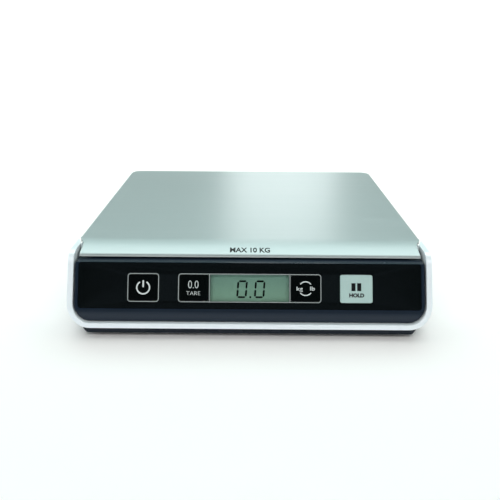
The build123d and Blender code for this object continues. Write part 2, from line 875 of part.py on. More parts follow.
def cross_slot(x, y, z0):
    """Cross recess in the underside of a screw head."""
    reach = housing_screw_head_radius * 0.55
    half = housing_screw_radius * 0.25
    depth = z0 + housing_screw_head / 2
    first = block(x - reach, x + reach, y - half, y + half, z0, depth)
    return first + block(x - half, x + half, y - reach, y + reach, z0, depth)


def carrier_screws():
    """Four screws that hold the bracket up against the carrier's posts."""
    screws = []
    for x, y in grid(carrier_screw_spread_x, carrier_screw_spread_y, platform_mid_y):
        head = disc(housing_screw_head_radius, x, y, bracket_z - housing_screw_head, bracket_z)
        tip = bracket_z + housing_screw_length
        shank = disc(housing_screw_radius, x, y, bracket_z, tip)
        screws.append(head + shank - cross_slot(x, y, bracket_z - housing_screw_head))
    return group(screws)


def rubber_feet():
    """Four round rubber feet pressed into the base."""
    feet = []
    for x, y in foot_places():
        foot = disc(foot_radius, x, y, 0, base_bottom_z + foot_recess)
        feet.append(fillet(foot.edges().sort_by(Axis.Z)[0], foot_recess / 2))
    return group(feet)


def overload_stops():
    """Four grub screws that stop the carrier when the platform is overloaded."""
    stops = []
    carrier_rest_z = carrier_top_z - carrier_plate - carrier_rim_depth
    stop_top = carrier_rest_z - platform_travel - stop_clearance
    foot = stop_post_top_z - 2 * stop_post_radius
    for x, y in stop_places():
        stop = disc(stop_screw_radius, x, y, foot, stop_top)
        stops.append(chamfer(stop.edges().sort_by(Axis.Z)[-1], stop_screw_radius / 4))
    return group(stops)


# --- fascia ---
def tub_section(half, foot_z, radius):
    """Front outline of the tub: straight sides and round lower corners, far taller than the scale."""
    tall = 2 * body_height
    return Plane.XZ * (Pos(0, foot_z + tall / 2) * RectangleRounded(2 * half, tall, radius))


def frame_space():
    """Room for the fascia frame: inside the tub, clear of its walls and floor."""
    radius = shell_lower_radius - shell_wall - fascia_side_gap
    section = tub_section(fascia_half, trim_foot_z, radius)
    return extrude(section, amount=body_depth) & block(
        -fascia_half, fascia_half, -body_depth, 0, 0, ledge_z,
    )


def frame_ledge():
    """Flat shelf along the top of the fascia, running back under the platform lip."""
    front = panel_mid_y + (ledge_z - panel_mid_z) * slant
    foot_z = ledge_z - ledge_thickness
    return side_solid(
        [
            (front, ledge_z),
            (front + ledge_depth, ledge_z),
            (front + ledge_depth, foot_z),
            (front - ledge_thickness * slant, foot_z),
        ],
        [],
        fascia_half,
    )


def trim_shape():
    """What the lower trim keeps: a strip set back from the bezel that rolls under towards its foot."""
    top_v = -panel_height / 2 - bezel_strip
    roll = Pos(0, top_v - trim_step, -trim_step - trim_roll_radius) * Rot(0, 90, 0) * Cylinder(
        trim_roll_radius, body_width,
    )
    above = Pos(0, top_v + body_height / 2) * Box(body_width, body_height, body_height)
    return on_fascia(above + roll)


def web_holes():
    """Holes through the web behind the panel: one for each key and its tabs, one for the display."""
    holes = []
    for x, width, height, _ in keys.values():
        key_room = Rectangle(width + 2 * key_gap, height + 2 * key_gap)
        tab_width = width - 2 * key_tab_inset
        tab_room = Rectangle(tab_width + 2 * key_gap, height + 2 * key_tab_reach + 2 * key_gap)
        holes.append(Pos(x, 0) * (key_room + tab_room))
    holes.append(Rectangle(window_width, window_height))
    cuts = [extrude(hole, amount=-frame_web) for hole in holes]
    return [on_fascia(cut, 0, -key_row_drop, -panel_thickness) for cut in cuts]


def fascia_frame():
    """Charcoal frame: slanted front with a panel pocket, a rolled lower trim and a top ledge."""
    slab = Pos(0, 0, -frame_depth / 2) * Box(body_width, 2 * body_height, frame_depth)
    frame = on_fascia(slab) & frame_space() & trim_shape()
    pocket_width = panel_width + 2 * panel_gap
    pocket_height = panel_height + 2 * panel_gap
    pocket = on_fascia(plate(pocket_width, pocket_height, panel_thickness, panel_radius))
    frame = frame - pocket + (frame_ledge() - pocket)
    for hole in web_holes():
        frame -= hole
    post_depth = board_front_depth - frame_depth
    for side in (-1, 1):
        post = Circle(board_post_radius) - Circle(board_screw_radius)
        post = extrude(post, amount=-post_depth)
        frame += on_fascia(post, side * board_post_x, board_post_v, -frame_depth)
    return frame


def key_opening(width, height):
    """Cut-out in the panel for one key."""
    return Pos(0, 0, -panel_thickness) * extrude(
        RectangleRounded(width + 2 * key_gap, height + 2 * key_gap, key_radius + key_gap),
        amount=2 * panel_thickness,
    )


def fascia_panel():
    """Gloss black panel with openings for four keys and the display."""
    panel = plate(panel_width, panel_height, panel_thickness, panel_radius)
    panel = chamfer(panel.faces().sort_by(Axis.Z)[-1].edges(), key_edge_round)
    for x, width, height, _ in keys.values():
        panel -= Pos(x, -key_row_drop) * key_opening(width, height)
    window = Box(window_width, window_height, 4 * panel_thickness)
    panel -= Pos(0, -key_row_drop) * window
    return on_fascia(panel)


def display_lens():
    """Clear window in front of the display."""
    width = window_width - 2 * lens_gap
    height = window_height - 2 * lens_gap
    lens = extrude(Rectangle(width, height), amount=-lens_thickness)
    return on_fascia(lens, 0, -key_row_drop, -lens_gap)


def key_cap(name):
    """Key cap on a narrower back with two retaining tabs and a stem towards its switch."""
    x, width, height, proud = keys[name]
    thickness = panel_thickness + key_tab_gap + key_tab_thickness
    tab_width = width - 2 * key_tab_inset
    cap = extrude(RectangleRounded(width, height, key_radius), amount=-panel_thickness - proud)
    cap = fillet(cap.faces().sort_by(Axis.Z)[-1].edges(), key_edge_round)
    cap = Pos(0, 0, proud) * cap
    neck_z = -panel_thickness - key_tab_gap / 2
    cap += Pos(0, 0, neck_z) * Box(tab_width, height, key_tab_gap)
    tab_z = -thickness + key_tab_thickness / 2
    cap += Pos(0, 0, tab_z) * Box(tab_width, height + 2 * key_tab_reach, key_tab_thickness)
    stem = board_front_depth - switch_height - switch_height / 2 - thickness
    cap += Pos(0, 0, -thickness - stem / 2) * Box(key_stem_side, key_stem_side, stem)
    return on_fascia(cap, x, -key_row_drop)


def switch_plunger(name):
    """Round plunger of the switch under one key."""
    tip = board_front_depth - switch_height - switch_height / 2
    root = board_front_depth - key_travel - 2 * key_gap
    body = extrude(Circle(plunger_radius), amount=-(root - tip))
    return on_fascia(body, keys[name][0], -key_row_drop, -tip)


def tact_switches():
    """Four switch bodies on the board, each bored for its plunger."""
    bodies = []
    for x, _, _, _ in keys.values():
        body = extrude(RectangleRounded(switch_side, switch_side, 0.5), amount=switch_height)
        bore = extrude(Circle(plunger_radius + plunger_clearance), amount=switch_height - 0.2)
        body -= Pos(0, 0, 0.2) * bore
        bodies.append(on_fascia(body, x, -key_row_drop, -board_front_depth))
    return group(bodies)


def lcd_glass():
    """Display cell: two glass plates, the front one shorter than the rear one."""
    front = frame_depth + lens_gap
    sheet = lcd_thickness / 2
    upper = extrude(Rectangle(lcd_width, lcd_height - lcd_step), amount=-sheet)
    lower = extrude(Rectangle(lcd_width, lcd_height), amount=-sheet)
    glass = upper + Pos(0, -lcd_step / 2, -sheet) * lower
    return on_fascia(glass, 0, -key_row_drop, -front)


def lcd_holder():
    """White frame that clamps the display cell against the board."""
    front = frame_depth + lens_gap + lcd_thickness / 2
    depth = board_front_depth - front
    wide = lcd_width + 2 * (lcd_frame_wall + lens_gap)
    high = lcd_height + 2 * (lcd_frame_wall + lens_gap)
    ring = extrude(Rectangle(wide, high), amount=-depth)
    glass_room = lcd_thickness / 2 + lens_gap
    ring -= extrude(Rectangle(lcd_width + 2 * lens_gap, lcd_height + 2 * lens_gap), amount=-glass_room)
    inside = Rectangle(lcd_width - 2 * lcd_frame_wall, lcd_height - 2 * lcd_frame_wall)
    inside = extrude(inside, amount=-depth)
    return on_fascia(ring - inside, 0, -key_row_drop - lcd_step / 2, -front)


def zebra_strips():
    """Rubber contact strips between the display cell and the board."""
    front = frame_depth + 2 * lens_gap + lcd_thickness
    depth = board_front_depth - front
    strips = []
    for side in (-1, 1):
        v = side * (lcd_height / 2 - lcd_frame_wall - zebra_height)
        strip = extrude(Rectangle(lcd_width - 4 * lcd_frame_wall, zebra_height), amount=-depth)
        strips.append(on_fascia(strip, 0, -key_row_drop - lcd_step / 2 + v, -front))
    return group(strips)


def main_board():
    """Circuit board that carries the switches, the display and the connectors."""
    board = extrude(RectangleRounded(board_width, board_height, 1.0), amount=-board_thickness)
    for side in (-1, 1):
        hole = extrude(Circle(board_screw_radius + screw_clearance), amount=-board_thickness)
        board -= Pos(side * board_post_x, board_post_v) * hole
    return on_fascia(board, 0, 0, -board_front_depth)


def board_screws():
    """Two screws that hold the board to the frame's posts."""
    screws = []
    back = board_front_depth + board_thickness
    for side in (-1, 1):
        head = extrude(Circle(board_screw_head_radius), amount=-board_screw_head)
        shank = extrude(Circle(board_screw_radius), amount=board_front_depth - frame_depth)
        screws.append(on_fascia(head + shank, side * board_post_x, board_post_v, -back))
    return group(screws)


def board_parts():
    """Chips, a crystal, capacitors and a buzzer on the back of the board."""
    back = board_front_depth + board_thickness
    parts = []
    for u, v, width, height, rise in (
        (0.0, 0.0, 12.0, 12.0, 1.4),
        (17.0, 3.0, 6.0, 5.0, 1.5),
        (-15.0, -5.0, 5.0, 4.0, 1.5),
        (16.0, -6.0, 8.0, 3.4, 2.6),
        (-17.0, 5.0, 3.2, 1.6, 1.0),
    ):
        parts.append(on_fascia(extrude(Rectangle(width, height), amount=-rise), u, v, -back))
    for u, v, radius, rise in ((-52.0, 0.0, 6.0, 4.5), (-24.0, 0.0, 2.5, 5.0), (-60.0, -6.0, 2.0, 4.0)):
        parts.append(on_fascia(extrude(Circle(radius), amount=-rise), u, v, -back))
    return group(parts)


def board_connectors():
    """Three wire-to-board sockets on the back of the board."""
    back = board_front_depth + board_thickness
    sockets = []
    for u in (cell_connector_u, battery_connector_u, usb_connector_u):
        socket = extrude(RectangleRounded(connector_width, connector_height, 0.5), amount=-connector_depth)
        sockets.append(on_fascia(socket, u, connector_v, -back))
    return group(sockets)


# --- leads ---
def lead_start(u):
    """Where a lead leaves its connector, and a second point straight behind it."""
    face = board_front_depth + board_thickness + connector_depth
    return fascia_point(u, connector_v, -face), fascia_point(u, connector_v, -face - 8.0)


def load_cell_cable():
    """Lead from the strain gauges to the board."""
    start, second = lead_start(cell_connector_u)
    side_x = cell_side / 2
    gauge_z = cell_bottom_z + cell_side / 2
    points = [
        start,
        second,
        (30, -50, 17),
        (26, -22, 15),
        (22, platform_mid_y - 18, gauge_z),
        (side_x, platform_mid_y - 18, gauge_z),
    ]
    return tube(points, cell_lead_radius)


def battery_leads():
    """Pair of leads from the battery contacts to the board, side by side."""
    wires = []
    for offset_x in (0, 3 * lead_radius):
        start, second = lead_start(battery_connector_u + offset_x)
        foot_y = bay_y - bay_length / 2 - bay_wall - door_margin
        points = [
            start,
            second,
            (battery_connector_u - 4 + offset_x, -60, 14),
            (bay_x + 8 + offset_x, foot_y - 14, 12.5),
            (bay_x + 8 + offset_x, foot_y, 12.5),
        ]
        wires.append(tube(points, lead_radius))
    return group(wires)


def usb_lead():
    """Lead from the board to the small board behind the USB socket."""
    start, second = lead_start(usb_connector_u)
    board_end = back_y - shell_wall - usb_board_length
    lead_z = usb_z - usb_height / 2 - board_thickness / 2
    points = [
        start,
        second,
        (56, -60, 16),
        (58, -18, 15),
        (56, 30, 16),
        (48, 60, 19),
        (usb_x, board_end - 12, lead_z),
        (usb_x, board_end, lead_z),
    ]
    return tube(points, lead_radius)


# --- USB socket ---
def usb_socket():
    """Folded metal shell of the small USB socket with its plastic tongue."""
    rear = back_y - shell_wall - usb_length + usb_cutout_margin
    outer = extrude(RectangleRounded(usb_width, usb_height, 1.0), amount=usb_length)
    room = Pos(0, 0, usb_sheet) * extrude(
        RectangleRounded(usb_width - 2 * usb_sheet, usb_height - 2 * usb_sheet, 0.7), amount=usb_length,
    )
    tongue = extrude(Rectangle(usb_tongue_width, usb_tongue_height), amount=usb_length * 0.8)
    return Pos(usb_x, rear, usb_z) * Rot(-90, 0, 0) * (outer - room + tongue)


def usb_board():
    """Small circuit board under the USB socket."""
    top = usb_z - usb_height / 2
    half = usb_board_width / 2
    rear = back_y - shell_wall - usb_cutout_margin
    return block(usb_x - half, usb_x + half, rear - usb_board_length + usb_cutout_margin, rear,
                 top - board_thickness, top)


def nodes():
    """Every node of the scale, by name."""
    seat_top = cell_bottom_z - cell_base_plate
    base_screws = [
        cell_screw(y, base_bottom_z + cell_screw_head, cell_bottom_z + cell_side * 0.7)
        for y in cell_screw_places(cell_fixed_y, -1)
    ]
    top_screws = [
        cell_screw(y, carrier_foot_z, cell_top_z - cell_side * 0.7)
        for y in cell_screw_places(cell_free_y, 1)
    ]
    table = {
        "platform_cover": platform_cover(),
        "platform_carrier": platform_carrier(),
        "cover_tape": cover_tape(),
        "carrier_bracket": carrier_bracket(),
        "carrier_screws": carrier_screws(),
        "load_cell": load_cell(),
        "gauge_sealant": gauge_sealant(),
        "cell_base_plate": cell_block(cell_fixed_y, -1, seat_top, cell_bottom_z),
        "cell_top_block": cell_block(cell_free_y, 1, cell_top_z, bracket_z),
        "cell_base_screws": group(base_screws),
        "cell_top_screws": group(top_screws),
        "base_tray": base_tray(),
        "overload_stops": overload_stops(),
        "rubber_feet": rubber_feet(),
        "housing_shell": housing_shell(),
        "housing_screws": housing_screws(),
        "battery_door": battery_door(),
        "aaa_cells": aaa_cells(),
        "battery_contacts": battery_contacts(),
        "battery_springs": battery_springs(),
        "fascia_frame": fascia_frame(),
        "fascia_panel": fascia_panel(),
        "display_lens": display_lens(),
        "lcd_glass": lcd_glass(),
        "lcd_holder": lcd_holder(),
        "zebra_strips": zebra_strips(),
        "main_board": main_board(),
        "board_screws": board_screws(),
        "board_parts": board_parts(),
        "board_connectors": board_connectors(),
        "tact_switches": tact_switches(),
        "load_cell_cable": load_cell_cable(),
        "battery_leads": battery_leads(),
        "usb_lead": usb_lead(),
        "usb_socket": usb_socket(),
        "usb_board": usb_board(),
    }
    for name in keys:
        table[f"{name}_key"] = key_cap(name)
        table[f"{name}_plunger"] = switch_plunger(name)
    return table


os.makedirs("parts", exist_ok=True)
for node, shape in nodes().items():
    export_step(shape, f"parts/{node}.step")
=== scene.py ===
"""Looks of a platform shipping scale: finishes, printed legends, display segments and a plain studio."""

from __future__ import annotations

import json
import logging
import math
from dataclasses import dataclass, field
from enum import Enum

import bmesh
import bpy
from mathutils import Matrix, Vector
from mathutils.bvhtree import BVHTree

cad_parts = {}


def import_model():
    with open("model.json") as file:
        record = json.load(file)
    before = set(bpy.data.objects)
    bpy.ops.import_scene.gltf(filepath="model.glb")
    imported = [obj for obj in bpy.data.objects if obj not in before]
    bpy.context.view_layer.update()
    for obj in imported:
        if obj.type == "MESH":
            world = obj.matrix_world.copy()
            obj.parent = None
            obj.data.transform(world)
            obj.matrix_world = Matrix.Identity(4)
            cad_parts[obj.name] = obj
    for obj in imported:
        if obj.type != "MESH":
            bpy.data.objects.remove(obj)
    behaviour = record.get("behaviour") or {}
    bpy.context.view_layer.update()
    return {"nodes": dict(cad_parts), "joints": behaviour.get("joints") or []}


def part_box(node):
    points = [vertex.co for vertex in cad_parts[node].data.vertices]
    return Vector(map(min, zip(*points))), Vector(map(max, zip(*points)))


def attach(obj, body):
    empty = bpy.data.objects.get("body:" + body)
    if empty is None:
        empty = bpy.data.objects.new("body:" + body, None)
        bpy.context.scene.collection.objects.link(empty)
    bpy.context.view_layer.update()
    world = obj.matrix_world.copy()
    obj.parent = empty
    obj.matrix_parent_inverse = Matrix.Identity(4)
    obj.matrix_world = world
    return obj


LOG = logging.getLogger("scale")
MM = 0.001
WELD = 1e-7  # metres; points of a word closer than this are joined
HARD_EDGE_DEGREES = 30.0
FLAT_FACE_WEIGHT = 80
NOISE_RANGE = {"From Min": 0.3, "From Max": 0.7}  # where nearly all of a noise texture's values lie
EDGE_RANGE = {"From Min": 0.53, "From Max": 0.62}  # pointiness, from a nearly flat face to a sharp edge

Point = tuple[float, float]
Place = tuple[float, float, float]
Colour = tuple[float, float, float, float]
Piece = bpy.types.Object
Node = bpy.types.Node
Tree = bpy.types.NodeTree
Socket = bpy.types.NodeSocket
Builder = bmesh.types.BMesh


# --- colour and node helpers ---
def linear(code: str) -> Colour:
    """Turn an sRGB hex colour into linear light.

    Args:
        code: six hex digits after a hash sign.

    Returns:
        Linear red, green and blue, and an alpha of 1.
    """
    parts = [int(code[i : i + 2], 16) / 255 for i in (1, 3, 5)]
    red, green, blue = (
        part / 12.92 if part <= 0.04045 else ((part + 0.055) / 1.055) ** 2.4 for part in parts
    )
    return red, green, blue, 1.0


def shaded(code: str, factor: float) -> Colour:
    """An sRGB hex colour in linear light, made darker or lighter by a factor."""
    return (*(min(1.0, part * factor) for part in linear(code)[:3]), 1.0)


def add_node(
    tree: Tree,
    kind: str,
    settings: dict[str | int, object] | None = None,
    links: dict[str | int, Socket] | None = None,
) -> Node:
    """Add one node with its settings and its incoming links.

    Args:
        tree: the tree that gets the node.
        kind: the node's type name.
        settings: lower-case keys are node properties, other keys are input sockets.
        links: source socket for each input socket.

    Returns:
        The new node.
    """
    node = tree.nodes.new(kind)
    for key, value in (settings or {}).items():
        if isinstance(key, str) and key[0].islower():
            setattr(node, key, value)
        else:
            node.inputs[key].default_value = value
    for key, source in (links or {}).items():
        tree.links.new(source, node.inputs[key])
    return node


def pattern_scale(size_mm: float) -> float:
    """Texture scale, in cells per metre, of a pattern whose cells are this many millimetres wide."""
    return 1.0 / (size_mm * MM)


def either_side(middle: float, spread: float) -> dict[str, float]:
    """Map range settings that end this far below and above a middle value."""
    return {"To Min": middle - spread, "To Max": middle + spread}


class Direction(Enum):
    """Which way a finish runs across a piece."""

    ALONG_X = (1.0, 0.0, 0.0)
    ALONG_Y = (0.0, 1.0, 0.0)

    @property
    def across(self) -> Place:
        """Direction in which the grooves spread a highlight, turned a little off the axes."""
        return (0.06, 1.0, 0.08) if self is Direction.ALONG_X else (1.0, 0.06, 0.08)


# --- finishes ---
@dataclass(frozen=True)
class Finish:
    """A finish that can be turned into a material."""

    name: str

    def shader(self, tree: Tree, place: Socket) -> Node:
        """Make the shader that gives this finish its look.

        Args:
            tree: the material's node tree.
            place: the piece's own coordinates, in metres.

        Returns:
            The shader node.
        """
        raise NotImplementedError

    def build(self) -> bpy.types.Material:
        """Make the material.

        Returns:
            The material, with this finish's shader at its output.
        """
        material = bpy.data.materials.new(self.name)
        material.use_nodes = True
        tree = material.node_tree
        tree.nodes.clear()
        place = add_node(tree, "ShaderNodeTexCoord").outputs["Object"]
        shader = self.shader(tree, place)
        add_node(tree, "ShaderNodeOutputMaterial", links={"Surface": shader.outputs[0]})
        return material

    def dress(self, piece: Piece) -> None:
        """Give a piece this finish.

        Args:
            piece: a mesh object, whose material slots are replaced.
        """
        material = bpy.data.materials.get(self.name) or self.build()
        piece.data.materials.clear()
        piece.data.materials.append(material)


@dataclass(frozen=True)
class BrushedMetal(Finish):
    """Metal brushed in one direction: long hairlines that spread a light across them.

    Real hairlines are about 0.05 mm wide. They are drawn about ten times coarser, so that they show.
    """

    colour: str = "#b9c4c3"
    roughness: float = 0.3
    gloss_spread: float = 0.05
    anisotropy: float = 0.6
    hairline_mm: float = 0.45
    hairline_length_mm: float = 38.0
    streak_scale: float = 0.12
    streak_share: float = 0.35
    dark: float = 0.96
    light: float = 1.03
    relief: float = 0.05
    groove_depth: float = 0.05 * MM
    grain: Direction = Direction.ALONG_X

    def shader(self, tree: Tree, place: Socket) -> Node:
        """Stretch noise at two scales along the brushing, for fine lines and broad streaks.

        Args:
            tree: the material's node tree.
            place: the piece's own coordinates, in metres.

        Returns:
            The shader node.
        """
        fine = pattern_scale(self.hairline_mm)
        long = pattern_scale(self.hairline_length_mm)
        stretch = [long if part else fine for part in self.grain.value]
        lines = add_node(tree, "ShaderNodeMapping", {"Scale": stretch}, {"Vector": place})
        hairs = add_node(
            tree, "ShaderNodeTexNoise", {"Scale": 1.0, "Detail": 3.0, "Roughness": 0.6},
            {"Vector": lines.outputs[0]},
        )
        broad = add_node(
            tree, "ShaderNodeTexNoise", {"Scale": self.streak_scale, "Detail": 2.0, "Roughness": 0.5},
            {"Vector": lines.outputs[0]},
        )
        mixed = add_node(
            tree, "ShaderNodeMix", {"data_type": "FLOAT", "Factor": self.streak_share},
            {2: hairs.outputs["Fac"], 3: broad.outputs["Fac"]},
        )
        tone = add_node(tree, "ShaderNodeValToRGB", links={"Fac": mixed.outputs[0]})
        for stop, position, factor in zip(tone.color_ramp.elements, (0.3, 0.7), (self.dark, self.light)):
            stop.position = position
            stop.color = shaded(self.colour, factor)
        rough = add_node(
            tree, "ShaderNodeMapRange", {**NOISE_RANGE, **either_side(self.roughness, self.gloss_spread)},
            {"Value": mixed.outputs[0]},
        )
        bump = add_node(
            tree, "ShaderNodeBump", {"Strength": self.relief, "Distance": self.groove_depth},
            {"Height": hairs.outputs["Fac"]},
        )
        tangent = add_node(tree, "ShaderNodeCombineXYZ", dict(enumerate(self.grain.across)))
        return add_node(
            tree, "ShaderNodeBsdfPrincipled", {"Metallic": 1.0, "Anisotropic": self.anisotropy},
            {
                "Base Color": tone.outputs["Color"],
                "Roughness": rough.outputs[0],
                "Normal": bump.outputs[0],
                "Tangent": tangent.outputs[0],
            },
        )


@dataclass(frozen=True)
class MouldedPlastic(Finish):
    """Moulded, poured or extruded material: a fine grain, a little uneven in gloss, paler on worn edges.

    A spark-eroded grain is really 0.05 to 0.1 mm wide. It is drawn coarser, so that it shows.
    """

    colour: str = "#101418"
    roughness: float = 0.45
    gloss_share: float = 0.15
    ior: float = 1.54
    specular: float = 0.5
    metallic: float = 0.0
    grain_mm: float = 0.5
    grain_depth: float = 0.04 * MM
    relief: float = 0.12
    edge_wear: float = 0.12
    wear_colour: str = "#9aa0a4"
    mottle_mm: float = 18.0
    mottle: float = 0.06

    def shader(self, tree: Tree, place: Socket) -> Node:
        """Put grain in the bump, mottle in the gloss and colour, and wear on the convex edges.

        Args:
            tree: the material's node tree.
            place: the piece's own coordinates, in metres.

        Returns:
            The shader node.
        """
        grain = add_node(
            tree, "ShaderNodeTexNoise",
            {"Scale": pattern_scale(self.grain_mm), "Detail": 2.0, "Roughness": 0.55}, {"Vector": place},
        )
        mottle = add_node(
            tree, "ShaderNodeTexNoise",
            {"Scale": pattern_scale(self.mottle_mm), "Detail": 3.0, "Roughness": 0.5}, {"Vector": place},
        )
        tone = add_node(tree, "ShaderNodeValToRGB", links={"Fac": mottle.outputs["Fac"]})
        factors = (1.0 - self.mottle, 1.0 + self.mottle)
        for stop, position, factor in zip(tone.color_ramp.elements, (0.35, 0.65), factors):
            stop.position = position
            stop.color = shaded(self.colour, factor)
        corner = add_node(tree, "ShaderNodeNewGeometry").outputs["Pointiness"]
        worn = add_node(
            tree, "ShaderNodeMapRange", {**EDGE_RANGE, "To Max": self.edge_wear},
            {"Value": corner},
        )
        colour = add_node(
            tree, "ShaderNodeMix", {"data_type": "RGBA", 7: linear(self.wear_colour)},
            {0: worn.outputs[0], 6: tone.outputs["Color"]},
        )
        rough = add_node(
            tree, "ShaderNodeMapRange",
            {**NOISE_RANGE, **either_side(self.roughness, self.roughness * self.gloss_share)},
            {"Value": mottle.outputs["Fac"]},
        )
        bump = add_node(
            tree, "ShaderNodeBump", {"Strength": self.relief, "Distance": self.grain_depth},
            {"Height": grain.outputs["Fac"]},
        )
        return add_node(
            tree, "ShaderNodeBsdfPrincipled",
            {"IOR": self.ior, "Specular IOR Level": self.specular, "Metallic": self.metallic},
            {"Base Color": colour.outputs[2], "Roughness": rough.outputs[0], "Normal": bump.outputs[0]},
        )


@dataclass(frozen=True)
class SilverLacquer(Finish):
    """Silver lacquer over ABS: fine aluminium flake under a clear coat, bright at a grazing light.

    Real flake is about 0.03 mm wide. It is drawn about ten times coarser, so that it shows.
    """

    colour: str = "#f2f8fc"
    flake_colour: str = "#ffffff"
    flake_share: float = 0.3
    metallic: float = 0.15
    roughness: float = 0.34
    gloss_spread: float = 0.03
    flake_mm: float = 0.35
    orange_peel_mm: float = 2.5
    orange_peel_depth: float = 0.04 * MM
    relief: float = 0.04
    coat: float = 0.5
    coat_roughness: float = 0.12

    def shader(self, tree: Tree, place: Socket) -> Node:
        """Put cellular flake in the colour, and the spray's orange peel in the gloss and bump.

        Args:
            tree: the material's node tree.
            place: the piece's own coordinates, in metres.

        Returns:
            The shader node.
        """
        flake = add_node(
            tree, "ShaderNodeTexVoronoi", {"Scale": pattern_scale(self.flake_mm)}, {"Vector": place},
        )
        orange = add_node(
            tree, "ShaderNodeTexNoise", {"Scale": pattern_scale(self.orange_peel_mm), "Detail": 1.0},
            {"Vector": place},
        )
        spark = add_node(
            tree, "ShaderNodeMapRange", {"To Max": self.flake_share}, {"Value": flake.outputs["Color"]},
        )
        colour = add_node(
            tree, "ShaderNodeMix",
            {"data_type": "RGBA", 6: linear(self.colour), 7: linear(self.flake_colour)},
            {0: spark.outputs[0]},
        )
        rough = add_node(
            tree, "ShaderNodeMapRange", {**NOISE_RANGE, **either_side(self.roughness, self.gloss_spread)},
            {"Value": orange.outputs["Fac"]},
        )
        bump = add_node(
            tree, "ShaderNodeBump", {"Strength": self.relief, "Distance": self.orange_peel_depth},
            {"Height": orange.outputs["Fac"]},
        )
        return add_node(
            tree, "ShaderNodeBsdfPrincipled",
            {"Metallic": self.metallic, "Coat Weight": self.coat, "Coat Roughness": self.coat_roughness},
            {"Base Color": colour.outputs[2], "Roughness": rough.outputs[0], "Normal": bump.outputs[0]},
        )


@dataclass(frozen=True)
class ClearWindow(Finish):
    """Clear cast acrylic: nearly invisible face on, with a hard reflection and faint wipe marks."""

    colour: str = "#0a0d0c"
    alpha: float = 0.07
    ior: float = 1.49
    wipe_mm: float = 4.0
    clean_roughness: float = 0.02
    wiped_roughness: float = 0.08

    def shader(self, tree: Tree, place: Socket) -> Node:
        """Make a thin clear sheet, whose gloss varies where it was wiped.

        Args:
            tree: the material's node tree.
            place: the piece's own coordinates, in metres.

        Returns:
            The shader node.
        """
        wipe = add_node(
            tree, "ShaderNodeTexNoise", {"Scale": pattern_scale(self.wipe_mm), "Detail": 4.0},
            {"Vector": place},
        )
        rough = add_node(
            tree, "ShaderNodeMapRange",
            {
                "From Min": 0.4,
                "From Max": 0.8,
                "To Min": self.clean_roughness,
                "To Max": self.wiped_roughness,
            },
            {"Value": wipe.outputs["Fac"]},
        )
        return add_node(
            tree, "ShaderNodeBsdfPrincipled",
            {"Base Color": linear(self.colour), "IOR": self.ior, "Alpha": self.alpha},
            {"Roughness": rough.outputs[0]},
        )


@dataclass(frozen=True)
class LiquidCrystal(Finish):
    """Reflective liquid crystal cell: a grey-green field over a brushed reflector, darker at the top by
    painted shade.

    The reflector's speckle is really about 0.05 mm. It is drawn ten times coarser, so that it shows.
    """

    # the field's colour low down, and the darker colour at the top that paints shade on the cell
    low_colour: str = "#8db59a"
    shaded_high_colour: str = "#72998a"
    low_z: float = 0.0
    high_z: float = 0.04
    roughness: float = 0.38
    gloss_spread: float = 0.04
    ior: float = 1.52
    specular: float = 0.3
    speckle_mm: float = 0.5
    speckle: float = 0.12

    def shader(self, tree: Tree, place: Socket) -> Node:
        """Darken the field upwards with painted shade, and add the reflector's speckle.

        Args:
            tree: the material's node tree.
            place: the piece's own coordinates, in metres.

        Returns:
            The shader node.
        """
        split = add_node(tree, "ShaderNodeSeparateXYZ", links={0: place})
        rise = add_node(
            tree, "ShaderNodeMapRange", {"From Min": self.low_z, "From Max": self.high_z},
            {"Value": split.outputs["Z"]},
        )
        # painted shade: the field grows darker from the cell's bottom to its top
        shaded_field_colour = add_node(
            tree, "ShaderNodeMix",
            {"data_type": "RGBA", 6: linear(self.low_colour), 7: linear(self.shaded_high_colour)},
            {0: rise.outputs[0]},
        )
        speckle = add_node(
            tree, "ShaderNodeTexNoise", {"Scale": pattern_scale(self.speckle_mm), "Detail": 2.0},
            {"Vector": place},
        )
        toned = add_node(
            tree, "ShaderNodeMix", {"data_type": "RGBA", "blend_type": "SOFT_LIGHT", 0: self.speckle},
            {6: shaded_field_colour.outputs[2], 7: speckle.outputs["Color"]},
        )
        rough = add_node(
            tree, "ShaderNodeMapRange", {**either_side(self.roughness, self.gloss_spread)},
            {"Value": speckle.outputs["Fac"]},
        )
        return add_node(
            tree, "ShaderNodeBsdfPrincipled", {"IOR": self.ior, "Specular IOR Level": self.specular},
            {"Base Color": toned.outputs[2], "Roughness": rough.outputs[0]},
        )


@dataclass(frozen=True)
class PrintedInk(Finish):
    """Printed ink: a thin film, slightly uneven where it passed the mesh.

    A printing mesh is really about 0.1 mm. It is drawn coarser, so that it shows.
    """

    colour: str = "#d6dbdd"
    roughness: float = 0.5
    gloss_spread: float = 0.1
    ior: float = 1.5
    mesh_mm: float = 0.4
    thin: float = 0.85
    thick: float = 1.1

    def shader(self, tree: Tree, place: Socket) -> Node:
        """Put the screen's unevenness in the colour and gloss.

        Args:
            tree: the material's node tree.
            place: the piece's own coordinates, in metres.

        Returns:
            The shader node.
        """
        screen = add_node(
            tree, "ShaderNodeTexNoise", {"Scale": pattern_scale(self.mesh_mm), "Detail": 2.0},
            {"Vector": place},
        )
        tone = add_node(tree, "ShaderNodeValToRGB", links={"Fac": screen.outputs["Fac"]})
        for stop, factor in zip(tone.color_ramp.elements, (self.thin, self.thick)):
            stop.color = shaded(self.colour, factor)
        rough = add_node(
            tree, "ShaderNodeMapRange", {**either_side(self.roughness, self.gloss_spread)},
            {"Value": screen.outputs["Fac"]},
        )
        return add_node(
            tree, "ShaderNodeBsdfPrincipled", {"IOR": self.ior},
            {"Base Color": tone.outputs["Color"], "Roughness": rough.outputs[0]},
        )


# Stainless sheet, brushed from side to side: a pale light spreads over it from front to back.
BRUSHED_STEEL = BrushedMetal("brushed_stainless_steel", colour="#a2a9a9", roughness=0.37, anisotropy=0.5)
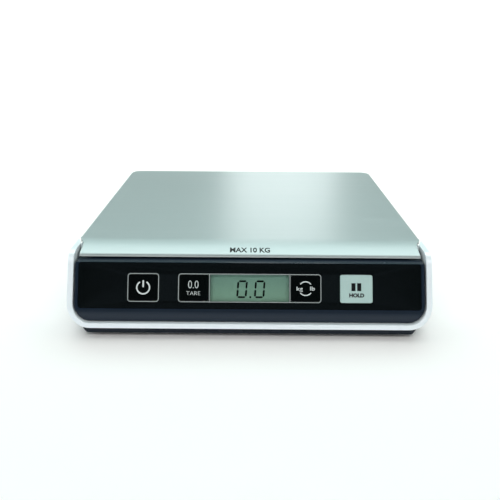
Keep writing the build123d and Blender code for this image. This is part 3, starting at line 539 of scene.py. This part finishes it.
# Zinc as plated: bluish grey and half matt.
ZINC_PLATE = BrushedMetal(
    "zinc_plated_steel", colour="#b4bac2", roughness=0.38, anisotropy=0.2, hairline_mm=0.8,
)
# Aluminium as milled: short tool lines and a clean pale shine.
MILLED_ALUMINIUM = BrushedMetal(
    "milled_aluminium", colour="#cdd0d3", roughness=0.34, hairline_mm=0.6, hairline_length_mm=12.0,
    grain=Direction.ALONG_Y,
)
# Nickel as plated: warm, and the brightest of the metals.
NICKEL_PLATE = BrushedMetal(
    "nickel_plated_spring_steel", colour="#cfc8bb", roughness=0.24, anisotropy=0.1, hairline_mm=0.9,
)
# Silver lacquer sprayed over ABS: nearly white, with an even satin shine.
SILVER_ABS = SilverLacquer("silver_lacquered_abs")
# The same lacquer in a greener, duller mix: the one pale key among black ones.
SILVER_KEY = SilverLacquer(
    "silver_lacquered_key", colour="#adc8c2", flake_colour="#d3e2df", metallic=0.3, roughness=0.4, coat=0.2,
)
# ABS from a satin tool: blue-black, with a soft sheen on its round lower edge.
CHARCOAL_ABS = MouldedPlastic(
    "satin_moulded_charcoal_abs", colour="#0d1b2a", roughness=0.24, specular=0.15, relief=0.04,
    edge_wear=0.04, wear_colour="#7b8790",
)
# Acrylic, polished and black right through: a deep black that mirrors what stands before it.
GLOSS_PANEL = MouldedPlastic(
    "polished_black_acrylic", colour="#060708", roughness=0.07, ior=1.49, relief=0.004, edge_wear=0.3,
    wear_colour="#20262a", grain_mm=3.0, mottle_mm=25.0,
)
# ABS from a spark-eroded tool: blue-black and duller than the trim above it.
BASE_ABS = MouldedPlastic(
    "moulded_black_abs", colour="#081421", roughness=0.28, specular=0.18, relief=0.12, edge_wear=0.03,
)
# ABS from an unpolished tool: plain and matt, since it is never seen.
CARRIER_ABS = MouldedPlastic(
    "moulded_carrier_abs", colour="#15171a", roughness=0.5, relief=0.25, edge_wear=0.08,
)
# Rubber as moulded: dead matt.
FOOT_RUBBER = MouldedPlastic(
    "moulded_nitrile_rubber", colour="#1b1b1c", roughness=0.8, ior=1.52, relief=0.35, grain_mm=0.8,
)
# Silicone as poured: off-white and lumpy.
SEALANT = MouldedPlastic(
    "poured_white_silicone", colour="#dfdfd9", roughness=0.45, ior=1.41, relief=0.3, grain_mm=2.2,
    edge_wear=0.0,
)
# Nylon as moulded: creamy and a little waxy.
WHITE_NYLON = MouldedPlastic(
    "moulded_white_nylon", colour="#dcdad0", roughness=0.5, ior=1.53, edge_wear=0.0,
)
# Filled epoxy as moulded: flat charcoal.
BOARD_PART = MouldedPlastic("moulded_black_epoxy", colour="#17181a", roughness=0.55)
# Solder mask over copper: glossy bottle green, uneven, with brassy edges.
SOLDER_MASK = MouldedPlastic(
    "green_solder_mask", colour="#1d5a36", roughness=0.25, ior=1.5, relief=0.1, grain_mm=1.2,
    edge_wear=0.4, wear_colour="#b9a46a", mottle_mm=6.0, mottle=0.18,
)
# Acetal as moulded: waxy amber.
PLUNGER = MouldedPlastic("moulded_amber_acetal", colour="#8a6a3c", roughness=0.4)
# Conducting and plain rubber in layers: dusty pink.
CONTACT_RUBBER = MouldedPlastic(
    "layered_contact_rubber", colour="#c98a93", roughness=0.7, ior=1.43, grain_mm=0.6,
)
# PVC as extruded: smooth, with a dull line of light along it.
CABLE_JACKET = MouldedPlastic(
    "extruded_grey_pvc", colour="#4b4d52", roughness=0.5, relief=0.1, edge_wear=0.0,
)
LEAD_JACKET = MouldedPlastic(
    "extruded_red_pvc", colour="#8f1f1b", roughness=0.42, relief=0.1, edge_wear=0.0,
)
# Metallised film, printed and shrunk on: grey-green with a foil shine.
CELL_SLEEVE = MouldedPlastic(
    "printed_cell_sleeve", colour="#3f5a57", roughness=0.3, metallic=0.6, relief=0.05, mottle=0.12,
)
# Tape as coated: cream and slightly rumpled.
TAPE_FILM = MouldedPlastic(
    "double_sided_tape", colour="#d8d4c6", roughness=0.6, relief=0.3, grain_mm=1.2, edge_wear=0.0,
)
# Laminate as pressed: an even warm white that shows only soft shadows.
TABLE_LAMINATE = MouldedPlastic(
    "pale_laminate_table", colour="#fff9f7", roughness=0.62, relief=0.02, edge_wear=0.0, mottle=0.0,
    grain_mm=1.0,
)
# Acrylic sheet as cast: seen only by its reflections.
WINDOW = ClearWindow("cast_clear_acrylic")
# Screen-printed inks: grey for the outlines, brighter for the marks, black on the pale key.
WHITE_INK = PrintedInk("screen_printed_grey_ink", colour="#9aa09f")
ICON_INK = PrintedInk("screen_printed_white_ink", colour="#d5dad9")
BLACK_INK = PrintedInk("screen_printed_black_ink", colour="#060b0b", roughness=0.22)
# Liquid crystal that is switched on: smooth and nearly black.
SEGMENT_INK = PrintedInk("liquid_crystal_segment", colour="#020805", roughness=0.16)
# Ink pad-printed on the steel: matt black that doesn't flash with the metal.
LIP_INK = PrintedInk("pad_printed_black_ink", colour="#030505", roughness=0.7)

DRESSED_NODES: dict[Finish, tuple[str, ...]] = {
    BRUSHED_STEEL: ("platform_cover",),
    CARRIER_ABS: ("platform_carrier",),
    TAPE_FILM: ("cover_tape",),
    ZINC_PLATE: (
        "carrier_bracket", "carrier_screws", "cell_base_screws", "cell_top_screws", "overload_stops",
        "housing_screws", "board_screws",
    ),
    MILLED_ALUMINIUM: ("load_cell", "cell_base_plate", "cell_top_block"),
    SEALANT: ("gauge_sealant",),
    BASE_ABS: ("base_tray", "battery_door"),
    FOOT_RUBBER: ("rubber_feet",),
    SILVER_ABS: ("housing_shell",),
    CELL_SLEEVE: ("aaa_cells",),
    NICKEL_PLATE: ("battery_contacts", "battery_springs", "usb_socket"),
    CHARCOAL_ABS: ("fascia_frame",),
    GLOSS_PANEL: ("fascia_panel", "power_key", "tare_key", "units_key"),
    WINDOW: ("display_lens",),
    WHITE_NYLON: ("lcd_holder", "board_connectors"),
    CONTACT_RUBBER: ("zebra_strips",),
    SOLDER_MASK: ("main_board", "usb_board"),
    BOARD_PART: ("board_parts", "tact_switches"),
    CABLE_JACKET: ("load_cell_cable", "usb_lead"),
    LEAD_JACKET: ("battery_leads",),
    SILVER_KEY: ("hold_key",),
    PLUNGER: ("power_plunger", "tare_plunger", "units_plunger", "hold_plunger"),
}


# --- shapes on the slanted fascia ---
@dataclass
class Fascia:
    """Directions and measures of the slanted key panel, read from the frame."""

    outward: Vector
    nodes: dict[str, Piece]
    across: Vector = field(default_factory=lambda: Vector((1.0, 0.0, 0.0)))

    @property
    def upward(self) -> Vector:
        """Direction up the slope of the panel."""
        return self.outward.cross(self.across).normalized()

    def extent(self, node: str) -> tuple[Vector, Vector]:
        """Measure a node along the panel's own directions.

        Args:
            node: name of the CAD node.

        Returns:
            Lowest and highest (across, up, out) of its points, in metres.
        """
        basis = (self.across, self.upward, self.outward)
        points = [v.co for v in self.nodes[node].data.vertices]
        spans = [[axis.dot(point) for point in points] for axis in basis]
        return Vector([min(s) for s in spans]), Vector([max(s) for s in spans])

    def centre(self, node: str) -> Vector:
        """Middle of a node's front face, in (across, up, out)."""
        low, high = self.extent(node)
        return Vector(((low.x + high.x) / 2, (low.y + high.y) / 2, high.z))

    def placed(self, at: Vector) -> Matrix:
        """Matrix that turns a shape drawn on XY onto the panel, with its origin at (across, up, out)."""
        turn = Matrix((self.across, self.upward, self.outward)).transposed().to_4x4()
        return turn @ Matrix.Translation(at)


def mesh_piece(name: str, builder: Builder, matrix: Matrix) -> Piece:
    """Make an object out of a finished bmesh.

    Args:
        name: the new object's name.
        builder: the shape, which is freed.
        matrix: where the shape goes.

    Returns:
        The object, with its place in its mesh.
    """
    bmesh.ops.recalc_face_normals(builder, faces=builder.faces)
    mesh = bpy.data.meshes.new(name)
    builder.to_mesh(mesh)
    builder.free()
    mesh.transform(matrix)
    piece = bpy.data.objects.new(name, mesh)
    bpy.context.scene.collection.objects.link(piece)
    return piece


def add_prism(builder: Builder, outline: list[Point], thickness: float) -> None:
    """Add a closed flat prism to a bmesh.

    Args:
        builder: the bmesh that gets it.
        outline: corners in order, in metres.
        thickness: height above z = 0, in metres.
    """
    low = [builder.verts.new((x, y, 0.0)) for x, y in outline]
    high = [builder.verts.new((x, y, thickness)) for x, y in outline]
    builder.faces.new(high)
    builder.faces.new(list(reversed(low)))
    for index, corner in enumerate(low):
        after = (index + 1) % len(low)
        builder.faces.new((corner, low[after], high[after], high[index]))


def add_band(
    builder: Builder, outer: list[Point], inner: list[Point], thickness: float, closed: bool,
) -> None:
    """Add a flat band between two lines of equal length.

    Args:
        builder: the bmesh that gets it.
        outer: points of the outer line, in metres.
        inner: matching points of the inner line, in metres.
        thickness: height above z = 0, in metres.
        closed: whether the band joins up with its own start.
    """
    rows = [
        (
            builder.verts.new((*far, 0.0)),
            builder.verts.new((*near, 0.0)),
            builder.verts.new((*near, thickness)),
            builder.verts.new((*far, thickness)),
        )
        for far, near in zip(outer, inner)
    ]
    spans = list(zip(rows, rows[1:] + rows[:1])) if closed else list(zip(rows, rows[1:]))
    for first, second in spans:
        for index in range(4):
            after = (index + 1) % 4
            builder.faces.new((first[index], first[after], second[after], second[index]))
    if not closed:
        builder.faces.new(rows[0])
        builder.faces.new(list(reversed(rows[-1])))


def rectangle(half_width: float, half_height: float) -> list[Point]:
    """Outline of a rectangle about the origin."""
    w, h = half_width, half_height
    return [(-w, -h), (w, -h), (w, h), (-w, h)]


def rounded_outline(half_width: float, half_height: float, radius: float, steps: int = 6) -> list[Point]:
    """Outline of a rectangle with rounded corners.

    Args:
        half_width: half of its width.
        half_height: half of its height.
        radius: corner radius.
        steps: spans in each corner's arc.

    Returns:
        Points in order, anticlockwise.
    """
    points = []
    for quarter, (sx, sy) in enumerate(((1, 1), (-1, 1), (-1, -1), (1, -1))):
        corner_x = sx * (half_width - radius)
        corner_y = sy * (half_height - radius)
        for step in range(steps + 1):
            angle = math.pi / 2 * (quarter + step / steps)
            points.append((corner_x + radius * math.cos(angle), corner_y + radius * math.sin(angle)))
    return points


def arc_points(radius: float, start: float, end: float, steps: int) -> list[Point]:
    """Points along an arc about the origin, from one angle to another in degrees."""
    spread = [math.radians(start + (end - start) * step / steps) for step in range(steps + 1)]
    return [(radius * math.cos(angle), radius * math.sin(angle)) for angle in spread]


def circle(radius: float, steps: int = 24) -> list[Point]:
    """Outline of a circle about the origin."""
    return arc_points(radius, 0.0, 360.0 - 360.0 / steps, steps - 1)


def moved(points: list[Point], dx: float, dy: float) -> list[Point]:
    """The same points, shifted."""
    return [(x + dx, y + dy) for x, y in points]


def capsule(length: float, width: float, steps: int = 8) -> list[Point]:
    """Outline of an upright bar with round ends, standing on the origin.

    Args:
        length: its whole height.
        width: its width.
        steps: spans in each end's arc.

    Returns:
        Points in order, anticlockwise.
    """
    radius = width / 2
    top = moved(arc_points(radius, 0.0, 180.0, steps), 0.0, length - radius)
    foot = moved(arc_points(radius, 180.0, 360.0, steps), 0.0, radius)
    return top + foot


@dataclass(frozen=True)
class Lettering:
    """A word set in a plain upright face, stretched to a given height and width."""

    text: str
    height: float
    width: float
    weight: float = 0.0
    middle: Point = (0.0, 0.0)
    thickness: float = 0.03 * MM

    def flat(self) -> bpy.types.Mesh:
        """Set the word at its size and place.

        Returns:
            A mesh of its flat faces.
        """
        curve = bpy.data.curves.new("word", "FONT")
        curve.body = self.text
        curve.size = 1.0
        curve.offset = self.weight
        curve.resolution_u = 4
        carrier = bpy.data.objects.new("word", curve)
        bpy.context.scene.collection.objects.link(carrier)
        bpy.context.view_layer.update()
        flat = bpy.data.meshes.new_from_object(carrier)
        bpy.data.objects.remove(carrier)
        bpy.data.curves.remove(curve)
        xs = [v.co.x for v in flat.vertices]
        ys = [v.co.y for v in flat.vertices]
        stretch = Matrix.Diagonal(
            (self.width / (max(xs) - min(xs)), self.height / (max(ys) - min(ys)), 1.0, 1.0)
        )
        to_origin = Matrix.Translation((-(max(xs) + min(xs)) / 2, -(max(ys) + min(ys)) / 2, 0.0))
        flat.transform(Matrix.Translation((*self.middle, 0.0)) @ stretch @ to_origin)
        return flat

    def add_to(self, builder: Builder) -> None:
        """Raise the word into a solid and add it to a bmesh.

        Args:
            builder: the bmesh that gets it.
        """
        flat = self.flat()
        part = bmesh.new()
        part.from_mesh(flat)
        bmesh.ops.remove_doubles(part, verts=part.verts, dist=WELD)
        extruded = bmesh.ops.extrude_face_region(part, geom=list(part.faces))
        lifted = [g for g in extruded["geom"] if isinstance(g, bmesh.types.BMVert)]
        bmesh.ops.translate(part, verts=lifted, vec=(0.0, 0.0, self.thickness))
        solid = bpy.data.meshes.new("word")
        part.to_mesh(solid)
        part.free()
        builder.from_mesh(solid)
        bpy.data.meshes.remove(flat)
        bpy.data.meshes.remove(solid)


# --- sub-assemblies ---
@dataclass
class PanelPrint:
    """Printed outlines on the black panel: one round the power key, one round the display group."""

    fascia: Fascia
    line: float = 0.45 * MM
    ink: float = 0.03 * MM
    bar_share: float = 0.9  # height of a bar against the outline, so that their faces don't coincide
    corner: float = 1.7 * MM
    margin: float = 0.12 * MM
    face_depth: float = 0.2 * MM
    key_bevel: float = 0.12 * MM
    body: str = "housing"

    def outline(self, name: str, low: Vector, high: Vector, bars: list[float]) -> Piece:
        """Print one outline and its inner bars.

        Args:
            name: the piece's name.
            low: low corner of what it goes round, in (across, up, out).
            high: high corner of the same.
            bars: places across of the upright bars inside it.

        Returns:
            The printed piece.
        """
        half_w = (high.x - low.x) / 2 + self.margin
        half_h = (high.y - low.y) / 2 + self.margin
        middle_x = (high.x + low.x) / 2
        builder = bmesh.new()
        inner = rounded_outline(half_w, half_h, self.corner - self.line)
        outer = rounded_outline(half_w + self.line, half_h + self.line, self.corner)
        add_band(builder, outer, inner, self.ink, closed=True)
        for bar in bars:
            upright = moved(rectangle(self.line / 2, half_h), bar - middle_x, 0.0)
            add_prism(builder, upright, self.ink * self.bar_share)
        face = self.fascia.extent("fascia_panel")[1].z
        at = Vector((middle_x, (high.y + low.y) / 2, face))
        piece = mesh_piece(name, builder, self.fascia.placed(at))
        WHITE_INK.dress(piece)
        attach(piece, self.body)
        return piece

    def face_of(self, key: str) -> tuple[Vector, Vector]:
        """Measure a key's front face, leaving out its hidden tabs.

        Args:
            key: name of the key's CAD node.

        Returns:
            Low and high corners, in (across, up, out).
        """
        low, high = self.fascia.extent(key)
        face = [
            v.co for v in self.fascia.nodes[key].data.vertices
            if self.fascia.outward.dot(v.co) > high.z - self.face_depth
        ]
        ups = [self.fascia.upward.dot(point) for point in face]
        return (
            Vector((low.x, min(ups) - self.key_bevel, low.z)),
            Vector((high.x, max(ups) + self.key_bevel, high.z)),
        )

    def build(self) -> list[Piece]:
        """Print both outlines.

        Returns:
            The two printed pieces.
        """
        lens_low, lens_high = self.fascia.extent("display_lens")
        power_low, power_high = self.face_of("power_key")
        tare_low, tare_high = self.face_of("tare_key")
        units_low, units_high = self.face_of("units_key")
        left_bar = (tare_high.x + lens_low.x) / 2
        right_bar = (units_low.x + lens_high.x) / 2
        return [
            self.outline("power_outline", power_low, power_high, []),
            self.outline("display_outline", tare_low, units_high, [left_bar, right_bar]),
        ]


@dataclass
class KeyLegends:
    """Marks printed on the four keys, each riding on its own key."""

    fascia: Fascia
    ink: float = 0.03 * MM
    end_share: float = 0.95  # height of an arc's round ends against it, so that their faces don't coincide
    arc_steps: int = 36
    ring_radius: float = 3.55 * MM
    ring_line: float = 0.78 * MM
    ring_gap: float = 36.0
    bar_length: float = 4.0 * MM
    bar_width: float = 0.897 * MM
    bar_foot: float = 0.1 * MM
    arc_radius: float = 3.8 * MM
    arc_line: float = 0.6 * MM
    arc_half_angle: float = 48.0
    pause_width: float = 2.3 * MM
    pause_height: float = 4.4 * MM
    pause_gap: float = 0.9 * MM
    pause_middle: float = 1.0 * MM

    def add_arc(self, builder: Builder, radius: float, line: float, start: float, end: float) -> None:
        """Add a curved line with round ends.

        Args:
            builder: the bmesh that gets it.
            radius: radius of the line's middle.
            line: width of the line.
            start: first angle, in degrees.
            end: last angle, in degrees.
        """
        outer = arc_points(radius + line / 2, start, end, self.arc_steps)
        inner = arc_points(radius - line / 2, start, end, self.arc_steps)
        add_band(builder, outer, inner, self.ink, closed=False)
        for x, y in arc_points(radius, start, end, 1):
            add_prism(builder, moved(circle(line / 2), x, y), self.ink * self.end_share)

    def power(self, builder: Builder) -> None:
        """Draw an open ring with an upright bar in its gap.

        Args:
            builder: the bmesh that gets them.
        """
        start = 90.0 + self.ring_gap
        end = 450.0 - self.ring_gap
        self.add_arc(builder, self.ring_radius, self.ring_line, start, end)
        add_prism(builder, moved(capsule(self.bar_length, self.bar_width), 0.0, self.bar_foot), self.ink)

    def tare(self, builder: Builder) -> None:
        """Draw a zero reading over the word for taring.

        Args:
            builder: the bmesh that gets them.
        """
        for word in (
            Lettering("0.0", height=4.3 * MM, width=5.8 * MM, weight=-0.01, middle=(-0.3 * MM, 1.9 * MM)),
            Lettering("TARE", height=2.1 * MM, width=7.8 * MM, weight=-0.012, middle=(-0.3 * MM, -3 * MM)),
        ):
            word.add_to(builder)

    def units(self, builder: Builder) -> None:
        """Draw two arcs of a ring between the two units.

        Args:
            builder: the bmesh that gets them.
        """
        for middle in (90.0, 270.0):
            start = middle - self.arc_half_angle
            end = middle + self.arc_half_angle
            self.add_arc(builder, self.arc_radius, self.arc_line, start, end)
        for word in (
            Lettering("kg", height=2.9 * MM, width=3.5 * MM, weight=0.02, middle=(-3.3 * MM, -0.4 * MM)),
            Lettering("lb", height=2.3 * MM, width=2.6 * MM, weight=0.02, middle=(3.8 * MM, 0.05 * MM)),
        ):
            word.add_to(builder)

    def hold(self, builder: Builder) -> None:
        """Draw two upright blocks over the word for holding.

        Args:
            builder: the bmesh that gets them.
        """
        block = rectangle(self.pause_width / 2, self.pause_height / 2)
        for side in (-1, 1):
            x = side * (self.pause_width + self.pause_gap) / 2
            add_prism(builder, moved(block, x, self.pause_middle), self.ink)
        word = Lettering("HOLD", height=2.3 * MM, width=8.4 * MM, weight=0.06, middle=(0.2 * MM, -3.6 * MM))
        word.add_to(builder)

    def build(self) -> list[Piece]:
        """Print the marks of all four keys.

        Returns:
            One piece for each key.
        """
        pieces = []
        for key, draw, finish, slot in (
            ("power", self.power, ICON_INK, "white_moulding"),
            ("tare", self.tare, ICON_INK, "white_moulding"),
            ("units", self.units, ICON_INK, "white_moulding"),
            ("hold", self.hold, BLACK_INK, "black_moulding"),
        ):
            builder = bmesh.new()
            draw(builder)
            at = self.fascia.centre(f"{key}_key")
            piece = mesh_piece(f"{key}_legend", builder, self.fascia.placed(at))
            finish.dress(piece)
            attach(piece, f"{key}_key")
            pieces.append(piece)
        return pieces


@dataclass
class Display:
    """Seven-segment reading on the liquid crystal cell."""

    fascia: Fascia
    digit_height: float = 8.9 * MM
    digit_width: float = 4.8 * MM
    stroke: float = 1.05 * MM
    gap: float = 0.22 * MM
    slant: float = 0.07
    pitch: float = 9.9 * MM
    first_x: float = -4.3 * MM
    drop: float = 0.5 * MM
    film: float = 0.02 * MM

    def segment(self, start: Point, end: Point) -> list[Point]:
        """Outline of one segment, pointed at both ends.

        Args:
            start: one end of its middle line.
            end: the other end.

        Returns:
            Six corners in order.
        """
        a, b = Vector(start), Vector(end)
        along = (b - a).normalized()
        side = Vector((-along.y, along.x)) * self.stroke / 2
        a = a + along * self.gap
        b = b - along * self.gap
        tip = along * self.stroke / 2
        corners = [a, a + tip + side, b - tip + side, b, b - tip - side, a + tip - side]
        return [(p.x + self.slant * p.y, p.y) for p in corners]

    def zero(self, builder: Builder, x: float) -> None:
        """Add the six outer segments of a zero.

        Args:
            builder: the bmesh that gets them.
            x: middle of the digit.
        """
        w, h = self.digit_width / 2, self.digit_height / 2
        round_trip = [(-w, h), (w, h), (w, 0.0), (w, -h), (-w, -h), (-w, 0.0), (-w, h)]
        for start, end in zip(round_trip, round_trip[1:]):
            add_prism(builder, moved(self.segment(start, end), x, 0.0), self.film)

    def dress_cell(self) -> None:
        """Give the cell its finish, with painted shade that darkens it towards its top."""
        low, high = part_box("lcd_glass")
        finish = LiquidCrystal("liquid_crystal_cell", low_z=low.z, high_z=high.z)
        finish.dress(self.fascia.nodes["lcd_glass"])

    def build(self) -> Piece:
        """Draw the reading.

        Returns:
            The piece that holds both digits and the point.
        """
        builder = bmesh.new()
        self.zero(builder, self.first_x)
        self.zero(builder, self.first_x + self.pitch)
        point_x = self.first_x + self.pitch / 2 - self.slant * self.digit_height / 2
        point = moved(rectangle(self.stroke / 2, self.stroke / 2), point_x, -self.digit_height / 2)
        add_prism(builder, point, self.film)
        lens = self.fascia.centre("display_lens")
        front = self.fascia.extent("lcd_glass")[1].z
        at = Vector((lens.x, lens.y - self.drop, front))
        piece = mesh_piece("display_segments", builder, self.fascia.placed(at))
        SEGMENT_INK.dress(piece)
        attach(piece, "housing")
        return piece


@dataclass
class CapacityMark:
    """Plain capacity mark on the lip of the platform."""

    cover: Piece
    text: str = "MAX 10 KG"
    width: float = 23.0 * MM
    run: float = 5.2 * MM
    weight: float = 0.025
    from_edge: float = 5.8 * MM
    lift: float = 0.05 * MM
    rows: int = 12
    clear_above: float = 10.0 * MM

    def build(self) -> Piece:
        """Draw the mark flat, then lay each of its points on the curved lip.

        Returns:
            The mark.
        """
        builder = bmesh.new()
        word = Lettering(self.text, self.run, self.width, weight=self.weight, thickness=self.lift)
        word.add_to(builder)
        for row in range(1, self.rows):
            bmesh.ops.bisect_plane(
                builder,
                geom=[*builder.verts, *builder.edges, *builder.faces],
                plane_co=(0.0, self.run * (row / self.rows - 0.5), 0.0),
                plane_no=(0.0, 1.0, 0.0),
            )
        low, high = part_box("platform_cover")
        at = Matrix.Translation((0.0, low.y + self.from_edge, 0.0))
        piece = mesh_piece("capacity_mark", builder, at)
        tree = BVHTree.FromPolygons(
            [v.co for v in self.cover.data.vertices],
            [p.vertices for p in self.cover.data.polygons],
        )
        for vertex in piece.data.vertices:
            above = Vector((vertex.co.x, vertex.co.y, high.z + self.clear_above))
            hit = tree.ray_cast(above, Vector((0.0, 0.0, -1.0)))[0]
            vertex.co.z += hit.z
        LIP_INK.dress(piece)
        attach(piece, "platform")
        return piece


# --- studio ---
@dataclass(frozen=True)
class SoftBox:
    """One rectangular studio light. Its power is in watts, its sizes and places in metres."""

    name: str
    place: Place
    size: Point
    power: float
    colour: str = "#ffffff"
    aim: Place = (0.0, 0.0, 0.03)

    def hang(self) -> Piece:
        """Hang the light and turn it to its aim.

        Returns:
            The light.
        """
        lamp = bpy.data.lights.new(self.name, "AREA")
        lamp.shape = "RECTANGLE"
        lamp.size, lamp.size_y = self.size
        lamp.energy = self.power
        lamp.color = linear(self.colour)[:3]
        light = bpy.data.objects.new(self.name, lamp)
        place = Vector(self.place)
        turn = (Vector(self.aim) - place).to_track_quat("-Z", "Y").to_matrix().to_4x4()
        light.matrix_world = Matrix.Translation(place) @ turn
        bpy.context.scene.collection.objects.link(light)
        return light


@dataclass(frozen=True)
class Room:
    """The room's own light: pale along the horizon, teal above it behind, dark above it in front.

    Heights and depths are parts of a direction of length 1, so a height of 0.16 is 9 degrees up.
    """

    horizon_colour: str = "#f7fafa"
    horizon_strength: float = 0.95
    horizon_top: float = 0.16
    ceiling_colour: str = "#80beb7"
    ceiling_foot: float = 0.32
    front: float = -0.5
    front_strength: float = 0.05
    back: float = 0.4
    back_strength: float = 0.5

    def build(self) -> bpy.types.World:
        """Make the world and give it to the scene.

        Returns:
            The world.
        """
        world = bpy.data.worlds.new("room")
        world.use_nodes = True
        tree = world.node_tree
        place = add_node(tree, "ShaderNodeTexCoord").outputs["Generated"]
        split = add_node(tree, "ShaderNodeSeparateXYZ", links={0: place})
        rise = add_node(
            tree, "ShaderNodeMapRange",
            {
                "interpolation_type": "SMOOTHSTEP",
                "From Min": self.horizon_top,
                "From Max": self.ceiling_foot,
            },
            {"Value": split.outputs["Z"]},
        )
        ceiling = add_node(
            tree, "ShaderNodeMapRange",
            {
                "From Min": self.front,
                "From Max": self.back,
                "To Min": self.front_strength,
                "To Max": self.back_strength,
            },
            {"Value": split.outputs["Y"]},
        )
        strength = add_node(
            tree, "ShaderNodeMix", {"data_type": "FLOAT", 2: self.horizon_strength},
            {0: rise.outputs[0], 3: ceiling.outputs[0]},
        )
        colour = add_node(
            tree, "ShaderNodeMix",
            {"data_type": "RGBA", 6: linear(self.horizon_colour), 7: linear(self.ceiling_colour)},
            {0: rise.outputs[0]},
        )
        background = tree.nodes["Background"]
        tree.links.new(colour.outputs[2], background.inputs["Color"])
        tree.links.new(strength.outputs[0], background.inputs["Strength"])
        bpy.context.scene.world = world
        return world


SOFT_BOXES = (
    # the steel and the table, from high up behind
    SoftBox("top_box", place=(0.0, 0.7, 1.4), size=(3.0, 1.6), power=18.5),
    # the fascia, from above the direction that the black panel mirrors
    SoftBox("front_box", place=(0.0, -1.1, 1.3), size=(2.2, 0.7), power=9.5),
    # the silver band and the base, from low in front
    SoftBox("low_box", place=(0.0, -1.3, 0.28), size=(2.2, 0.3), power=3.2, colour="#f3f9ff"),
    # the green cast on the lip
    SoftBox("lip_box", place=(0.0, 0.9, 1.05), size=(1.8, 0.5), power=5.8, colour="#bfe0de"),
    # the bright patch on the steel
    SoftBox("glow_box", place=(0.08, 1.2, 0.38), size=(0.28, 0.26), power=0.7),
    # the cove behind the scale
    SoftBox("wall_box", place=(0.0, 0.5, 1.1), size=(1.8, 0.5), power=6.0, aim=(0.0, 1.3, 0.1)),
    # the silver sides
    SoftBox("left_box", place=(-1.3, -0.3, 0.5), size=(0.6, 0.7), power=2.6, colour="#f3f8ff"),
    SoftBox("right_box", place=(1.3, -0.3, 0.5), size=(0.6, 0.7), power=2.6),
)


@dataclass
class Studio:
    """White cove, soft boxes, the room's light and the camera."""

    focal_mm: float = 46.8
    sensor_mm: float = 36.0
    camera_height: float = 0.1665
    camera_back: float = 0.5522
    pitch: float = 19.41
    roll: float = 0.42
    clip_start: float = 0.01
    floor_half: float = 3.0
    wall_distance: float = 1.3
    wall_height: float = 0.3
    bend_radius: float = 0.25
    bend_steps: int = 12

    def floor(self) -> Piece:
        """Build the floor, which curves up behind the scale.

        Returns:
            The floor.
        """
        bend_start = self.wall_distance - self.bend_radius
        profile = [(-self.floor_half, 0.0), (bend_start, 0.0)]
        for step in range(1, self.bend_steps + 1):
            angle = math.radians(90.0 * step / self.bend_steps)
            y = bend_start + self.bend_radius * math.sin(angle)
            z = self.bend_radius - self.bend_radius * math.cos(angle)
            profile.append((y, z))
        profile.append((self.wall_distance, self.wall_height))
        builder = bmesh.new()
        rows = [
            [builder.verts.new((x, y, z)) for x in (-self.floor_half, self.floor_half)]
            for y, z in profile
        ]
        for first, second in zip(rows, rows[1:]):
            builder.faces.new((first[0], first[1], second[1], second[0]))
        floor = mesh_piece("studio_floor", builder, Matrix.Identity(4))
        for face in floor.data.polygons:
            face.use_smooth = True
        TABLE_LAMINATE.dress(floor)
        return floor

    def lights(self) -> list[Piece]:
        """Hang the soft boxes and set the room's own light.

        Returns:
            The soft boxes.
        """
        boxes = [box.hang() for box in SOFT_BOXES]
        Room().build()
        return boxes

    def camera(self, back_edge: float) -> Piece:
        """Stand the camera in front of the scale.

        Args:
            back_edge: Y of the scale's back edge.

        Returns:
            The camera.
        """
        lens = bpy.data.cameras.new("camera")
        lens.lens = self.focal_mm
        lens.sensor_width = self.sensor_mm
        lens.clip_start = self.clip_start
        camera = bpy.data.objects.new("camera", lens)
        turn = Matrix.Rotation(math.radians(90.0 - self.pitch), 4, "X")
        tilt = Matrix.Rotation(math.radians(self.roll), 4, "Z")
        place = Matrix.Translation((0.0, back_edge - self.camera_back, self.camera_height))
        camera.matrix_world = place @ turn @ tilt
        bpy.context.scene.collection.objects.link(camera)
        bpy.context.scene.camera = camera
        return camera


def dress_nodes(nodes: dict[str, Piece]) -> None:
    """Give every CAD node its finish, and shading that keeps flat faces flat.

    Args:
        nodes: the CAD nodes by name.
    """
    dressed = [(name, finish) for finish, names in DRESSED_NODES.items() for name in names]
    for name, finish in dressed:
        finish.dress(nodes[name])
        split = nodes[name].modifiers.new("hard_edges", "EDGE_SPLIT")
        split.split_angle = math.radians(HARD_EDGE_DEGREES)
        weighted = nodes[name].modifiers.new("flat_faces", "WEIGHTED_NORMAL")
        weighted.keep_sharp = True
        weighted.weight = FLAT_FACE_WEIGHT
        LOG.info("%s: %s", name, finish.name)


def main() -> None:
    """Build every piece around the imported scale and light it."""
    logging.basicConfig(level=logging.INFO, format="%(message)s")
    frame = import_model()
    nodes = frame["nodes"]
    press = next(joint for joint in frame["joints"] if joint["name"] == "power_press")
    fascia = Fascia(outward=-Vector(press["axis"]).normalized(), nodes=nodes)
    dress_nodes(nodes)
    display = Display(fascia)
    display.dress_cell()
    pieces = [
        *PanelPrint(fascia).build(),
        *KeyLegends(fascia).build(),
        display.build(),
        CapacityMark(nodes["platform_cover"]).build(),
    ]
    for piece in pieces:
        LOG.info("%s: %d faces", piece.name, len(piece.data.polygons))
    studio = Studio()
    studio.floor()
    studio.lights()
    studio.camera(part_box("platform_cover")[1].y)
    bpy.context.scene.view_settings.view_transform = "Standard"


if __name__ == "__main__":
    main()
